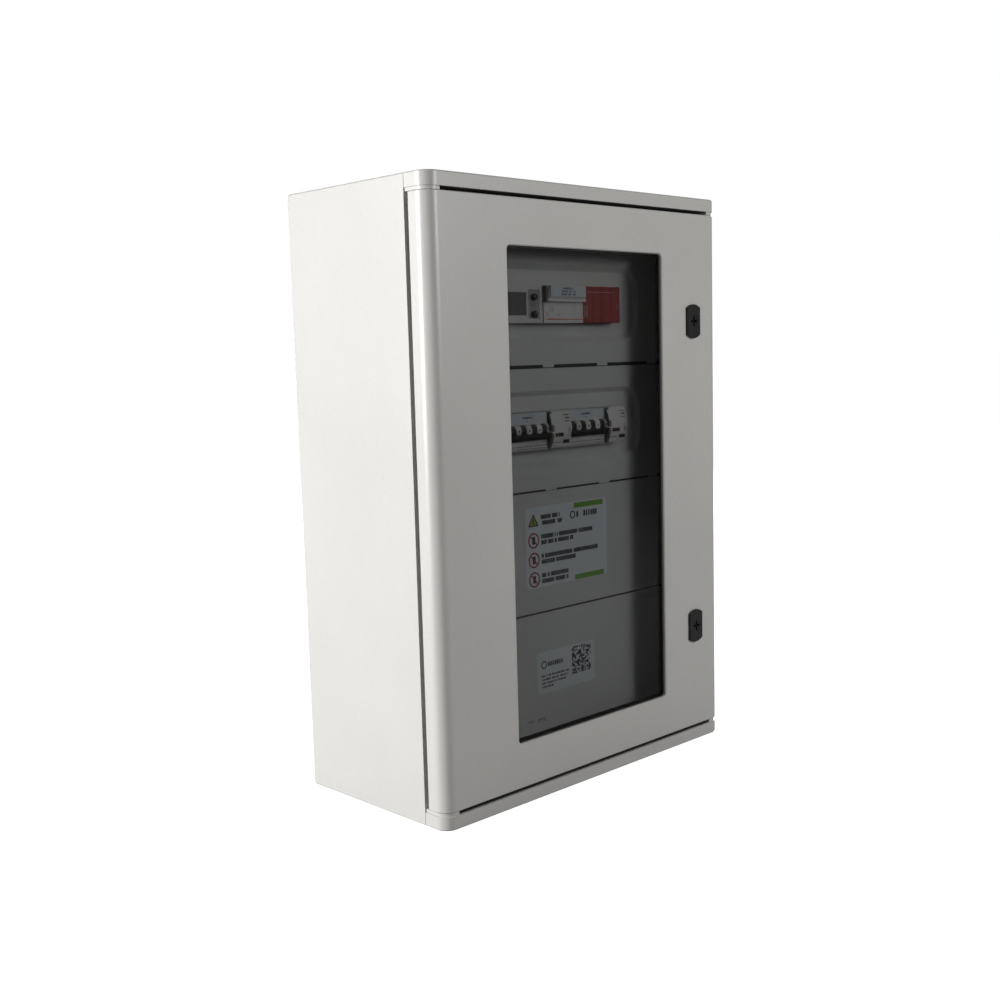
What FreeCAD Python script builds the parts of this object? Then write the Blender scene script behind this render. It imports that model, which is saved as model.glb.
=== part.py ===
"""Wall cabinet that combines and protects solar strings.

Frame: +X to the right, -Y out of the front, +Z up.  The origin is the centre of the
wall-fixing pattern on the back face.  All sizes are in millimetres.
"""
import FreeCAD, Part
import os
from math import cos, sin, radians, sqrt

V = FreeCAD.Vector
X_AXIS = V(1, 0, 0)
Y_AXIS = V(0, 1, 0)
Z_AXIS = V(0, 0, 1)

# ---------------------------------------------------------------- driving dimensions
# Cabinet
BOX_W = 510.0
BOX_H = 720.0
BOX_D = 250.0
WALL = 4.0                   # moulded glass-reinforced polyester
FRONT_CORNER_R = 16.0        # upright front corners of rims and door
BACK_CORNER_R = 6.0
EDGE_BREAK = 1.5             # small bevel on outer edges
RIM_H = 16.0                 # height of the fixed rims above and below the door
SEAM_DEPTH = 35.5            # from the door front back to the body's front edge
SEAM_GAP = 7.0               # groove between body side and door flange
RIM_GAP = 4.5                # between a rim and the door
SWING_CLEAR = 2.25           # swinging door flange to the sealing lip
LIP_DROP = 38.0              # top and bottom of cabinet to the outer face of the sealing lip
LIP_WALL = 4.0
LIP_BACKSET = 14.0           # door front to the lip's front edge
FIXING_INSET = 50.0          # wall-fixing holes from the outer sides, top and bottom
FIXING_R = 4.5
FIXING_BOSS_R = 13.0
FIXING_BOSS_H = 6.0

# Door
WINDOW_W = 274.0
WINDOW_H = 573.0
WINDOW_R = 5.0
WINDOW_BEVEL = 1.2
PANE_T = 3.0
PANE_LAP = 12.0              # pane beyond the window on each side
PANE_SEAL_T = 1.5
PANE_SEAL_SHOW = 1.5         # width of the seal seen inside the window
SEAL_W = 8.0                 # foam seal that meets the lip
SEAL_CLEAR = 0.3             # seal face to lip, door shut
RIB_T = 1.5                  # ribs that hold the foam seal
RIB_H = 6.0
PIVOT_SIDE = 12.0            # door pivot from the outer side
PIVOT_FRONT = 14.0           # door pivot from the door front
PIN_R = 4.0
PIN_CLEAR = 0.05
BUSH_WALL = 2.0
CORNER_BLOCK_T = 4.0
CORNER_BLOCK_L = 20.0
CORNER_BLOCK_INSET = 1.5
SHADOW_LINE = 0.8            # groove where a rim meets the body side

# Locks
LOCK_Z = 202.0
LOCK_PLATE_W = 27.0
LOCK_PLATE_H = 44.0
LOCK_PLATE_T = 3.5
LOCK_BARREL_WALL = 2.5
LOCK_BARREL_L = 24.0
LOCK_INSERT_R = 8.0
LOCK_FIT = 0.05
LOCK_NUT_WALL = 1.5
LOCK_NUT_T = 6.0
LOCK_NUT_CLEAR = 0.64        # nut corner to the seal rib
CAM_TIP_CLEAR = 1.5          # cam tip to the sealing lip
CAM_W = 12.0
CAM_T = 3.0
KEEPER_T = 2.0
KEEPER_H = 24.0
KEEPER_SCREW_R = 2.0
KEEPER_SCREW_DZ = 9.0
CAM_CLEAR = 0.5

# Inner covers and frame
ROW_PITCH = 150.0
ROW_COUNT = 4
SEAM_GAPS = (4.5, 2.5, 2.5)  # between covers, from the top
COVER_SETBACK = 46.0         # door front to the covers' front face
COVER_LAP = 3.0              # cover beyond its carriers
COVER_T = 2.0
COVER_BORDER = 12.0          # stepped border along top and bottom of a cover
COVER_STEP = 0.8
COVER_SKIRT = 8.0
COVER_SKIRT_T = 1.5
FIELD_MARGIN = 31.25         # sunk field beyond each end of the device slot
FIELD_H = 92.0
FIELD_R = 30.0
FIELD_SLOPE = 6.0
FIELD_DEPTH = 4.5
MODULE = 17.5
SLOT_MODULES = 13
SLOT_CLEAR = 1.1             # slot height over the device noses
SLOT_DROP = 1.2              # slot centre below the row centre
RAIL_BACKSET = 72.0          # rail lips behind the device noses
RAIL_H = 35.0
RAIL_D = 7.5
RAIL_T = 1.0
RAIL_END_CLEAR = 2.0
UPRIGHT_INSET = 65.0         # outer side to the middle of an upright
UPRIGHT_W = 30.0
UPRIGHT_D = 20.0
UPRIGHT_T = 1.5
UPRIGHT_OVERRUN = 10.0       # upright beyond the cover stack, each end
CARRIER_FLANGE = 15.0
SPACER_R = 9.0
SPACER_BOSS_R = 12.0
SPACER_BOSS_H = 14.0
SPACER_END = 40.0            # spacer from the end of its upright
COVER_SCREW_EDGE = 8.0       # cover screw from the outer side of its carrier
COVER_SCREW_DZ = 110.0
TAB_W = 19.5
TAB_FIRST_X = -125.0
TAB_PITCH = 99.0
TAB_COUNT = 4

# Devices on the rails
NOSE_PROUD = 10.0            # device noses in front of the covers
NOSE_H = 44.5
DEVICE_H = 86.0
SHOULDER_D = 44.0            # rail to the device shoulder
DEVICE_GAP = 0.3
ROW_2_SHIFT = 2.0            # second row starts this far along its slot
FUSE_LEVER_PROUD = 7.0
FUSE_LEVER_CLEAR = 0.25
FUSE_R = 5.1
FUSE_L = 38.0
DRUM_R = 8.5
CHEEK_R = 9.5
TOGGLE_W = 8.5
TOGGLE_REST = 35.0           # degrees below level, switched off
BAR_REACH = 15.5
BUTTON_W = 10.5
BUTTON_H = 4.5
BUTTON_TRAVEL = 1.5
KNOB_R = 4.0
KNOB_PROUD = 4.0

# ---------------------------------------------------------------- derived places
HALF_W = BOX_W / 2
HALF_H = BOX_H / 2
FRONT = -BOX_D
BODY_FRONT = FRONT + SEAM_DEPTH
FLANGE_BACK = BODY_FRONT - SEAM_GAP
RIM_UNDER = HALF_H - RIM_H
DOOR_TOP = RIM_UNDER - RIM_GAP
LIP_Z = HALF_H - LIP_DROP
LIP_FRONT = FRONT + LIP_BACKSET
DOOR_INNER = FRONT + WALL
PIVOT_X = -HALF_W + PIVOT_SIDE
PIVOT_Y = FRONT + PIVOT_FRONT
SWING_R = sqrt(PIVOT_SIDE ** 2 + (FLANGE_BACK - PIVOT_Y) ** 2)
LIP_X = HALF_W - PIVOT_SIDE - SWING_R - SWING_CLEAR
LIP_INNER_X = LIP_X - LIP_WALL
LIP_INNER_Z = LIP_Z - LIP_WALL
SEAL_X = LIP_X - LIP_WALL / 2
SEAL_Z = LIP_Z - LIP_WALL / 2
FIXING_DX = BOX_W - 2 * FIXING_INSET
FIXING_DZ = BOX_H - 2 * FIXING_INSET
LOCK_BARREL_R = LOCK_INSERT_R + LOCK_BARREL_WALL
LOCK_NUT_AF = 2 * (LOCK_BARREL_R + LOCK_NUT_WALL)
LOCK_X = SEAL_X - SEAL_W / 2 - RIB_T - LOCK_NUT_CLEAR - LOCK_NUT_AF / sqrt(3)
CAM_REACH = LIP_INNER_X - CAM_TIP_CLEAR - LOCK_X
COVER_FRONT = FRONT + COVER_SETBACK
COVER_BACK = COVER_FRONT + COVER_T
FIELD_FRONT = COVER_FRONT + FIELD_DEPTH
NOSE_FRONT = COVER_FRONT - NOSE_PROUD
RAIL_FRONT = NOSE_FRONT + RAIL_BACKSET
RAIL_BACK = RAIL_FRONT + RAIL_D
SHOULDER = RAIL_FRONT - SHOULDER_D
SLOT_HALF = SLOT_MODULES * MODULE / 2
SLOT_H = NOSE_H + SLOT_CLEAR
FIELD_W = 2 * (SLOT_HALF + FIELD_MARGIN)
TOP_EDGE = ROW_COUNT * ROW_PITCH / 2
UPRIGHT_X = HALF_W - UPRIGHT_INSET
UPRIGHT_L = 2 * (TOP_EDGE + UPRIGHT_OVERRUN)
SPACER_Z = UPRIGHT_L / 2 - SPACER_END
CARRIER_X = UPRIGHT_X + UPRIGHT_W / 2
COVER_SCREW_X = CARRIER_X - COVER_SCREW_EDGE
COVER_W = 2 * (CARRIER_X + COVER_LAP)
RAIL_L = 2 * (CARRIER_X - CARRIER_FLANGE - RAIL_END_CLEAR)
ROW_1_START = -SLOT_HALF
ROW_2_START = -SLOT_HALF + ROW_2_SHIFT


def row_middle(row):
    """Height of the middle of a cover row, counted from the top."""
    return TOP_EDGE - ROW_PITCH * (row + 0.5)


def slot_middle(row):
    return row_middle(row) - SLOT_DROP


# ---------------------------------------------------------------- shape helpers
def box(x0, x1, y0, y1, z0, z1):
    low = V(min(x0, x1), min(y0, y1), min(z0, z1))
    return Part.makeBox(abs(x1 - x0), abs(y1 - y0), abs(z1 - z0), low)


def rod(x, y, z, radius, length, axis):
    return Part.makeCylinder(radius, length, V(x, y, z), axis)


def join(shapes):
    first = shapes[0]
    return first.multiFuse(shapes[1:]).removeSplitter() if len(shapes) > 1 else first


def group(shapes):
    return Part.makeCompound(shapes)


def rounded_wire(width, height, radius, y, x_mid=0.0, z_mid=0.0):
    """Rounded rectangle in a plane square to Y."""
    hw = width / 2
    hh = height / 2
    bend = radius * (1 - cos(radians(45)))
    arcs = []
    for sx, sz in ((1, 1), (-1, 1), (-1, -1), (1, -1)):
        side = V(x_mid + sx * hw, y, z_mid + sz * (hh - radius))
        middle = V(x_mid + sx * (hw - bend), y, z_mid + sz * (hh - bend))
        level = V(x_mid + sx * (hw - radius), y, z_mid + sz * hh)
        arcs.append((side, middle, level) if sx * sz > 0 else (level, middle, side))
    edges = []
    for index, (start, middle, end) in enumerate(arcs):
        edges.append(Part.Arc(start, middle, end).toShape())
        edges.append(Part.makeLine(end, arcs[(index + 1) % 4][0]))
    return Part.Wire(edges)


def slab(width, height, radius, y_front, y_back, x_mid=0.0, z_mid=0.0):
    """Plate square to Y with rounded corners."""
    wire = rounded_wire(width, height, radius, y_front, x_mid, z_mid)
    return Part.Face(wire).extrude(V(0, y_back - y_front, 0))


def taper(front, back, y_front, y_back, x_mid=0.0, z_mid=0.0):
    """Solid between two rounded rectangles, each given as (width, height, radius)."""
    wires = [rounded_wire(*front, y_front, x_mid, z_mid), rounded_wire(*back, y_back, x_mid, z_mid)]
    return Part.makeLoft(wires, True, True)


def is_upright(edge):
    b = edge.BoundBox
    return b.ZLength > 1e-3 and b.XLength < 1e-4 and b.YLength < 1e-4


def upright_block(width, height, y_front, y_back, front_r, back_r):
    """Block centred on X and Z whose upright edges are rounded."""
    block = box(-width / 2, width / 2, y_front, y_back, -height / 2, height / 2)
    for radius, y in ((front_r, y_front), (back_r, y_back)):
        edges = [e for e in block.Edges if is_upright(e) and abs(e.BoundBox.YMin - y) < 1e-6]
        if radius > 0:
            block = block.makeFillet(radius, edges)
    return block


def side_profile(points, x0, x1):
    """Outline of (y, z) points carried along X."""
    corners = [V(x0, y, z) for y, z in points]
    wire = Part.makePolygon(corners + corners[:1])
    return Part.Face(wire).extrude(V(x1 - x0, 0, 0))


def hexagon(x, y, z, across_flats, y_length):
    corners = []
    for step in range(7):
        angle = radians(60 * step)
        reach = across_flats / sqrt(3)
        corners.append(V(x + reach * cos(angle), y, z + reach * sin(angle)))
    return Part.Face(Part.makePolygon(corners)).extrude(V(0, y_length, 0))


def screw(x, y, z, head_r, head_h, shank_r, shank_l):
    """Screw driven along +Y: y is the seat under its head."""
    head = rod(x, y - head_h, z, head_r, head_h, Y_AXIS)
    head = head.makeChamfer(head_h * 0.3,
                            [head.Edges[0]] if head.Edges[0].BoundBox.YMax < y else [head.Edges[2]])
    slot = box(x - head_r, x + head_r, y - head_h, y - head_h * 0.5, z - head_r * 0.15, z + head_r * 0.15)
    return join([head, rod(x, y, z, shank_r, shank_l, Y_AXIS)]).cut(slot)


NODES = {}


def node(name, shapes):
    """Keep one named piece, or a group of like pieces, for writing."""
    NODES[name] = group(shapes) if isinstance(shapes, list) else shapes


# ---------------------------------------------------------------- enclosure body
SHOULDER_BACK = BODY_FRONT + WALL
KEEPER_Y = FRONT + LOCK_BARREL_L
CAM_Y = KEEPER_Y + CAM_CLEAR
KEEPER_EDGE = LIP_FRONT + 1
KEEPER_SCREW_Y = (KEEPER_EDGE + KEEPER_Y - KEEPER_T) / 2
RETURN_CLEAR = 0.8           # lip returns to the door flange
BUSH_R = PIN_R + BUSH_WALL
LOCK_HEIGHTS = (LOCK_Z, -LOCK_Z)


def enclosure_body():
    """Deep tray with fixed rims above and below the door, a shoulder and a sealing lip."""
    shell = upright_block(BOX_W, BOX_H, FRONT, 0, FRONT_CORNER_R, BACK_CORNER_R)
    ends = [e for e in shell.Edges if e.BoundBox.ZLength < 1e-6]
    shell = shell.makeChamfer(EDGE_BREAK, ends)
    inside_w = BOX_W - 2 * WALL
    inside_h = BOX_H - 2 * WALL
    cavity = upright_block(inside_w, inside_h, SHOULDER_BACK, -WALL, 0, BACK_CORNER_R - WALL)
    pockets = upright_block(inside_w, inside_h, DOOR_INNER, SHOULDER_BACK, FRONT_CORNER_R - WALL, 0)
    under = RIM_UNDER + WALL
    pockets = pockets.cut(box(-HALF_W, HALF_W, DOOR_INNER, SHOULDER_BACK, -under, under))
    recess = box(-HALF_W - 1, HALF_W + 1, FRONT - 1, BODY_FRONT, -RIM_UNDER, RIM_UNDER)
    lip = slab(2 * LIP_X, 2 * LIP_Z, 2 * LIP_WALL, LIP_FRONT, SHOULDER_BACK)
    mouth = slab(2 * LIP_INNER_X, 2 * LIP_INNER_Z, LIP_WALL, LIP_FRONT - 1, SHOULDER_BACK + 1)
    shell = shell.cut(cavity).cut(pockets).cut(recess).fuse(lip).cut(mouth)
    for side in (-1, 1):
        for end in (-1, 1):
            # short return that closes the groove between the lip's corner and the rim
            shell = shell.fuse(box(side * LIP_INNER_X, side * LIP_X, FLANGE_BACK + RETURN_CLEAR,
                                   SHOULDER_BACK,
                                   end * (LIP_Z - 2 * LIP_WALL), end * (RIM_UNDER + 1)))
            shell = shell.cut(box(side * (HALF_W - SHADOW_LINE), side * (HALF_W + 1),
                                  BODY_FRONT - SHADOW_LINE, BODY_FRONT,
                                  end * (RIM_UNDER - 1), end * (HALF_H + 1)))
            shell = corner_fixings(shell, side, end)
    for end in (-1, 1):
        rim_hole = rod(PIVOT_X, PIVOT_Y, end * (RIM_UNDER + WALL / 2) - WALL, BUSH_R, 2 * WALL, Z_AXIS)
        shell = shell.cut(rim_hole)
    for z in LOCK_HEIGHTS:
        for dz in (-KEEPER_SCREW_DZ, KEEPER_SCREW_DZ):
            shell = shell.cut(rod(LIP_INNER_X - 1, KEEPER_SCREW_Y, z + dz, KEEPER_SCREW_R, LIP_WALL + 2,
                                  X_AXIS))
    return shell


def corner_fixings(shell, side, end):
    """Wall-fixing hole with its boss, and the boss that carries an upright."""
    x = side * FIXING_DX / 2
    z = end * FIXING_DZ / 2
    boss_face = -WALL - FIXING_BOSS_H
    shell = shell.fuse(rod(x, boss_face, z, FIXING_BOSS_R, FIXING_BOSS_H + 1, Y_AXIS))
    shell = shell.cut(rod(x, boss_face - 1, z, FIXING_R, FIXING_BOSS_H + WALL + 2, Y_AXIS))
    carrier = rod(side * UPRIGHT_X, -WALL - SPACER_BOSS_H, end * SPACER_Z, SPACER_BOSS_R, SPACER_BOSS_H + 1,
                  Y_AXIS)
    return shell.fuse(carrier)


def corner_block(side, end):
    """Small moulded block that closes a rim's end, just inside its outline."""
    block = upright_block(BOX_W - 2 * CORNER_BLOCK_INSET, 2 * RIM_UNDER, FRONT + CORNER_BLOCK_INSET,
                          BODY_FRONT,
                          FRONT_CORNER_R - CORNER_BLOCK_INSET, 0)
    reach = CORNER_BLOCK_L + CORNER_BLOCK_INSET
    block = block.common(box(side * (HALF_W - reach), side * HALF_W, FRONT, BODY_FRONT,
                             end * (RIM_UNDER - CORNER_BLOCK_T), end * RIM_UNDER))
    if side < 0:
        block = block.cut(rod(PIVOT_X, PIVOT_Y, end * RIM_UNDER - WALL * 2, BUSH_R, 4 * WALL, Z_AXIS))
    return block


def hinge_bush(end):
    """Plain nylon bush pressed through the corner block and the rim."""
    low = min(end * (RIM_UNDER - CORNER_BLOCK_T), end * (RIM_UNDER + WALL))
    length = CORNER_BLOCK_T + WALL
    tube = rod(PIVOT_X, PIVOT_Y, low, BUSH_R, length, Z_AXIS)
    return tube.cut(rod(PIVOT_X, PIVOT_Y, low - 1, PIN_R + PIN_CLEAR, length + 2, Z_AXIS))


def lock_keeper(z):
    """Bent steel angle on the inside of the sealing lip; the cam turns in behind it."""
    half = KEEPER_H / 2
    leg = box(LIP_INNER_X - KEEPER_T, LIP_INNER_X, KEEPER_EDGE, KEEPER_Y, z - half, z + half)
    plate_x = LOCK_X + LOCK_BARREL_R + 1
    plate = box(plate_x, LIP_INNER_X, KEEPER_Y - KEEPER_T, KEEPER_Y, z - half, z + half)
    keeper = join([leg, plate])
    for dz in (-KEEPER_SCREW_DZ, KEEPER_SCREW_DZ):
        hole = rod(LIP_INNER_X - KEEPER_T - 1, KEEPER_SCREW_Y, z + dz, KEEPER_SCREW_R, KEEPER_T + 2, X_AXIS)
        keeper = keeper.cut(hole)
    return keeper


def keeper_screw(z):
    head_r = 1.6 * KEEPER_SCREW_R
    head_x = LIP_INNER_X - KEEPER_T
    head = rod(head_x - KEEPER_SCREW_R, KEEPER_SCREW_Y, z, head_r, KEEPER_SCREW_R, X_AXIS)
    nut = rod(LIP_X, KEEPER_SCREW_Y, z, head_r, KEEPER_SCREW_R, X_AXIS)
    return join([head, rod(head_x, KEEPER_SCREW_Y, z, KEEPER_SCREW_R, KEEPER_T + LIP_WALL, X_AXIS), nut])


node("enclosure_body", enclosure_body())
node("rim_corner_blocks", [corner_block(side, end) for side in (-1, 1) for end in (-1, 1)])
node("hinge_bushes", [hinge_bush(end) for end in (-1, 1)])
node("lock_keepers", [lock_keeper(z) for z in LOCK_HEIGHTS])
node("keeper_screws", [keeper_screw(z + dz) for z in LOCK_HEIGHTS for dz in (-KEEPER_SCREW_DZ,
                                                                             KEEPER_SCREW_DZ)])


# ---------------------------------------------------------------- mounting frame
UPRIGHT_FRONT = RAIL_BACK
SPACER_FRONT = UPRIGHT_FRONT + UPRIGHT_T
SPACER_BACK = -WALL - SPACER_BOSS_H
FRAME_SCREW_R = 3.0
FRAME_HEAD_R = 5.0
FRAME_HEAD_H = 3.5
RAIL_SCREW_R = 2.5
RAIL_SCREW_X = RAIL_L / 2 - 7.0
SMALL_HEAD_R = 4.5
SMALL_HEAD_H = 3.0
RAIL_HOLE_PITCH = 25.0
RAIL_HOLE_L = 15.0
RAIL_HOLE_H = 6.2
RAIL_HOLE_STEPS = 6          # holes each side of the middle one
RAIL_LIP = 4.0
CARRIER_SCREW_Z = (-SPACER_Z + 40.0, 0.0, SPACER_Z - 40.0)
COVER_SCREW_R = 3.0
COVER_HEAD_R = 6.0
COVER_HEAD_H = 2.5
RAIL_ROWS = (0, 1, 2)
SIDES = (-1, 1)


def upright(side):
    """Steel channel, open to the back, with holes for spacers, rails and cover carriers."""
    x = side * UPRIGHT_X
    half = UPRIGHT_W / 2
    outer = box(x - half, x + half, UPRIGHT_FRONT, UPRIGHT_FRONT + UPRIGHT_D, -UPRIGHT_L / 2, UPRIGHT_L / 2)
    inner = box(x - half + UPRIGHT_T, x + half - UPRIGHT_T, SPACER_FRONT, UPRIGHT_FRONT + UPRIGHT_D + 1,
                -UPRIGHT_L / 2 - 1, UPRIGHT_L / 2 + 1)
    channel = outer.cut(inner)
    for end in (-1, 1):
        channel = channel.cut(rod(x, UPRIGHT_FRONT - 1, end * SPACER_Z, FRAME_SCREW_R, UPRIGHT_T + 2, Y_AXIS))
    for row in RAIL_ROWS:
        channel = channel.cut(rod(side * RAIL_SCREW_X, UPRIGHT_FRONT - 1, slot_middle(row), RAIL_SCREW_R,
                                  UPRIGHT_T + 2, Y_AXIS))
    for z in CARRIER_SCREW_Z:
        channel = channel.cut(rod(side * COVER_SCREW_X, UPRIGHT_FRONT - 1, z, RAIL_SCREW_R, UPRIGHT_T + 2,
                                  Y_AXIS))
    return channel


def upright_spacer(side, end):
    """Turned spacer from the back-wall boss to the upright, tapped at its front."""
    x = side * UPRIGHT_X
    z = end * SPACER_Z
    post = rod(x, SPACER_FRONT, z, SPACER_R, SPACER_BACK - SPACER_FRONT, Y_AXIS)
    return post.cut(rod(x, SPACER_FRONT, z, FRAME_SCREW_R, 16, Y_AXIS))


def din_rail(z):
    """Top-hat rail with oblong holes along its web."""
    half = RAIL_H / 2
    hat = half - RAIL_LIP
    outline = [(RAIL_FRONT, half), (RAIL_FRONT + RAIL_T, half), (RAIL_FRONT + RAIL_T, hat), (RAIL_BACK, hat),
               (RAIL_BACK, -hat), (RAIL_FRONT + RAIL_T, -hat), (RAIL_FRONT + RAIL_T, -half), (RAIL_FRONT,
                                                                                              -half),
               (RAIL_FRONT, -hat + RAIL_T), (RAIL_BACK - RAIL_T, -hat + RAIL_T), (RAIL_BACK - RAIL_T,
                                                                                  hat - RAIL_T),
               (RAIL_FRONT, hat - RAIL_T)]
    rail = side_profile([(y, z + dz) for y, dz in outline], -RAIL_L / 2, RAIL_L / 2)
    for step in range(-RAIL_HOLE_STEPS, RAIL_HOLE_STEPS + 1):
        rail = rail.cut(slab(RAIL_HOLE_L, RAIL_HOLE_H, RAIL_HOLE_H / 2 - 0.1, RAIL_BACK - RAIL_T - 1,
                             RAIL_BACK + 1,
                             step * RAIL_HOLE_PITCH, z))
    for side in (-1, 1):
        rail = rail.cut(rod(side * RAIL_SCREW_X, RAIL_FRONT, z, RAIL_SCREW_R, RAIL_D + 1, Y_AXIS))
    return rail


def cover_carrier(side):
    """Sheet-steel channel on the upright; its front flange takes the cover screws."""
    inner_x = side * (CARRIER_X - CARRIER_FLANGE)
    outer_x = side * CARRIER_X
    half = TOP_EDGE - 2
    channel = box(inner_x, outer_x, COVER_BACK, UPRIGHT_FRONT, -half, half)
    channel = channel.cut(box(inner_x - side, outer_x - side * UPRIGHT_T, COVER_BACK + UPRIGHT_T,
                              UPRIGHT_FRONT - UPRIGHT_T, -half - 1, half + 1))
    for z in CARRIER_SCREW_Z:
        channel = channel.cut(rod(side * COVER_SCREW_X, UPRIGHT_FRONT - UPRIGHT_T - 1, z, RAIL_SCREW_R, 6,
                                  Y_AXIS))
    for end in SIDES:
        channel = channel.cut(rod(side * UPRIGHT_X, UPRIGHT_FRONT - UPRIGHT_T - 1, end * SPACER_Z,
                                  FRAME_HEAD_R + 1, UPRIGHT_T + 2, Y_AXIS))
    for row in range(ROW_COUNT):
        for dz in (-COVER_SCREW_DZ / 2, COVER_SCREW_DZ / 2):
            channel = channel.cut(rod(side * COVER_SCREW_X, COVER_BACK - 1, row_middle(row) + dz,
                                      COVER_SCREW_R + 0.1, UPRIGHT_T + 2, Y_AXIS))
    return channel


node("mounting_uprights", [upright(side) for side in SIDES])
node("upright_spacers", [upright_spacer(side, end) for side in SIDES for end in SIDES])
node("upright_screws", [screw(side * UPRIGHT_X, UPRIGHT_FRONT, end * SPACER_Z, FRAME_HEAD_R, FRAME_HEAD_H,
                              FRAME_SCREW_R, 14) for side in SIDES for end in SIDES])
node("din_rails", [din_rail(slot_middle(row)) for row in RAIL_ROWS])
node("din_rail_screws", [screw(side * RAIL_SCREW_X, RAIL_BACK - RAIL_T, slot_middle(row), SMALL_HEAD_R,
                               SMALL_HEAD_H, RAIL_SCREW_R, 6) for side in SIDES for row in RAIL_ROWS])
node("cover_carriers", [cover_carrier(side) for side in SIDES])
node("carrier_screws", [screw(side * COVER_SCREW_X, UPRIGHT_FRONT - UPRIGHT_T, z, SMALL_HEAD_R, SMALL_HEAD_H,
                              RAIL_SCREW_R, 7) for side in SIDES for z in CARRIER_SCREW_Z])


# ---------------------------------------------------------------- inner covers
def seam_half(index):
    return SEAM_GAPS[index] / 2 if 0 <= index < len(SEAM_GAPS) else 1.0


def cover_panel(row, has_slot):
    """Moulded cover with stepped borders, a stiffening skirt and, if needed, a sunk slotted field."""
    top = row_middle(row) + ROW_PITCH / 2 - seam_half(row - 1)
    low = row_middle(row) - ROW_PITCH / 2 + seam_half(row)
    half = COVER_W / 2
    panel = box(-half, half, COVER_FRONT, COVER_BACK, low, top)
    for edge, inward in ((top, -1), (low, 1)):
        panel = panel.cut(box(-half - 1, half + 1, COVER_FRONT - 1, COVER_FRONT + COVER_STEP,
                              edge - inward, edge + inward * COVER_BORDER))
        skirt_half = CARRIER_X - CARRIER_FLANGE - 4
        panel = panel.fuse(box(-skirt_half, skirt_half, COVER_BACK, COVER_BACK + COVER_SKIRT,
                               edge, edge + inward * COVER_SKIRT_T))
    for side in SIDES:
        panel = panel.fuse(box(side * half, side * (half - COVER_SKIRT_T), COVER_BACK,
                               COVER_BACK + COVER_SKIRT,
                               low, top))
        for dz in (-COVER_SCREW_DZ / 2, COVER_SCREW_DZ / 2):
            panel = panel.cut(rod(side * COVER_SCREW_X, COVER_FRONT - 1, row_middle(row) + dz,
                                  COVER_SCREW_R + 0.1, COVER_T + 2, Y_AXIS))
    if has_slot:
        z = row_middle(row)
        wide = (FIELD_W, FIELD_H, FIELD_R)
        narrow = (FIELD_W - 2 * FIELD_SLOPE, FIELD_H - 2 * FIELD_SLOPE, FIELD_R - FIELD_SLOPE)
        outer_wide = [size + 2 * COVER_T for size in wide[:2]] + [FIELD_R + COVER_T]
        outer_narrow = [size + 2 * COVER_T for size in narrow[:2]] + [FIELD_R - FIELD_SLOPE + COVER_T]
        tub = taper(outer_wide, outer_narrow, COVER_BACK, COVER_BACK + FIELD_DEPTH, 0, z)
        panel = panel.fuse(tub)
        panel = panel.cut(taper(wide, narrow, COVER_FRONT, FIELD_FRONT, 0, z))
        panel = panel.cut(slab(2 * SLOT_HALF + 0.5, SLOT_H, 0.5, COVER_FRONT - 1,
                               COVER_BACK + FIELD_DEPTH + 1,
                               0, slot_middle(row)))
    return panel.removeSplitter()


def cover_screw(side, z):
    """Quarter-turn fastener with a slotted head."""
    return screw(side * COVER_SCREW_X, COVER_FRONT, z, COVER_HEAD_R, COVER_HEAD_H, COVER_SCREW_R,
                 COVER_T + UPRIGHT_T + 4)


def seam_tab(seam, index):
    """Clip that bridges the gap between two covers."""
    z = TOP_EDGE - ROW_PITCH * (seam + 1)
    x = TAB_FIRST_X + index * TAB_PITCH
    half_gap = seam_half(seam)
    return box(x - TAB_W / 2, x + TAB_W / 2, COVER_FRONT + COVER_STEP, COVER_BACK + COVER_SKIRT,
               z - half_gap * 0.55, z + half_gap)


for row in range(ROW_COUNT):
    node("cover_panel_%d" % (row + 1), cover_panel(row, row < 2))
node("cover_screws", [cover_screw(side, row_middle(row) + dz) for side in SIDES for row in range(ROW_COUNT)
                      for dz in (-COVER_SCREW_DZ / 2, COVER_SCREW_DZ / 2)])
node("cover_tabs", [seam_tab(seam, index) for seam in range(2) for index in range(TAB_COUNT)])


# ---------------------------------------------------------------- devices on the rails
NOSE_HALF = NOSE_H / 2
RAIL_CATCH = 2.0


def device_block(start, modules, row, nose_front=NOSE_FRONT, nose_low=-NOSE_HALF, nose_high=NOSE_HALF):
    """Rail-mounted housing: wide back part, narrower nose, and a rail recess with catches."""
    z = slot_middle(row)
    x0 = start + DEVICE_GAP / 2
    x1 = start + modules * MODULE - DEVICE_GAP / 2
    half = DEVICE_H / 2
    back = RAIL_BACK - 1.5
    block = box(x0, x1, SHOULDER, back, z - half, z + half)
    block = block.fuse(box(x0, x1, nose_front, SHOULDER + 1, z + nose_low, z + nose_high))
    rail_half = RAIL_H / 2
    block = block.cut(box(x0 - 1, x1 + 1, RAIL_FRONT - 0.1, RAIL_FRONT + RAIL_T + 0.1,
                          z - rail_half - 0.1, z + rail_half + 0.1))
    block = block.cut(box(x0 - 1, x1 + 1, RAIL_FRONT, back + 1, z - rail_half + RAIL_CATCH,
                          z + rail_half - RAIL_CATCH))
    return block.removeSplitter(), x0, x1, z


RELAY_EDGE_R = 3.0
DISPLAY_X = (9.0, 41.0)      # display opening, from the relay's left side
DISPLAY_HALF_H = 13.5
DISPLAY_SUNK = 0.8
DISPLAY_WELL = 2.5
DIAL_X = (44.0, 63.0)        # sunk dial plate, from the relay's left side
DIAL_HALF_H = 17.5
DIAL_SUNK = 1.0
KNOB_DZ = (8.0, -12.0)       # knobs from the slot middle
KNOB_SHAFT_R = 2.0
KNOB_SHAFT_L = 5.5


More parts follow.
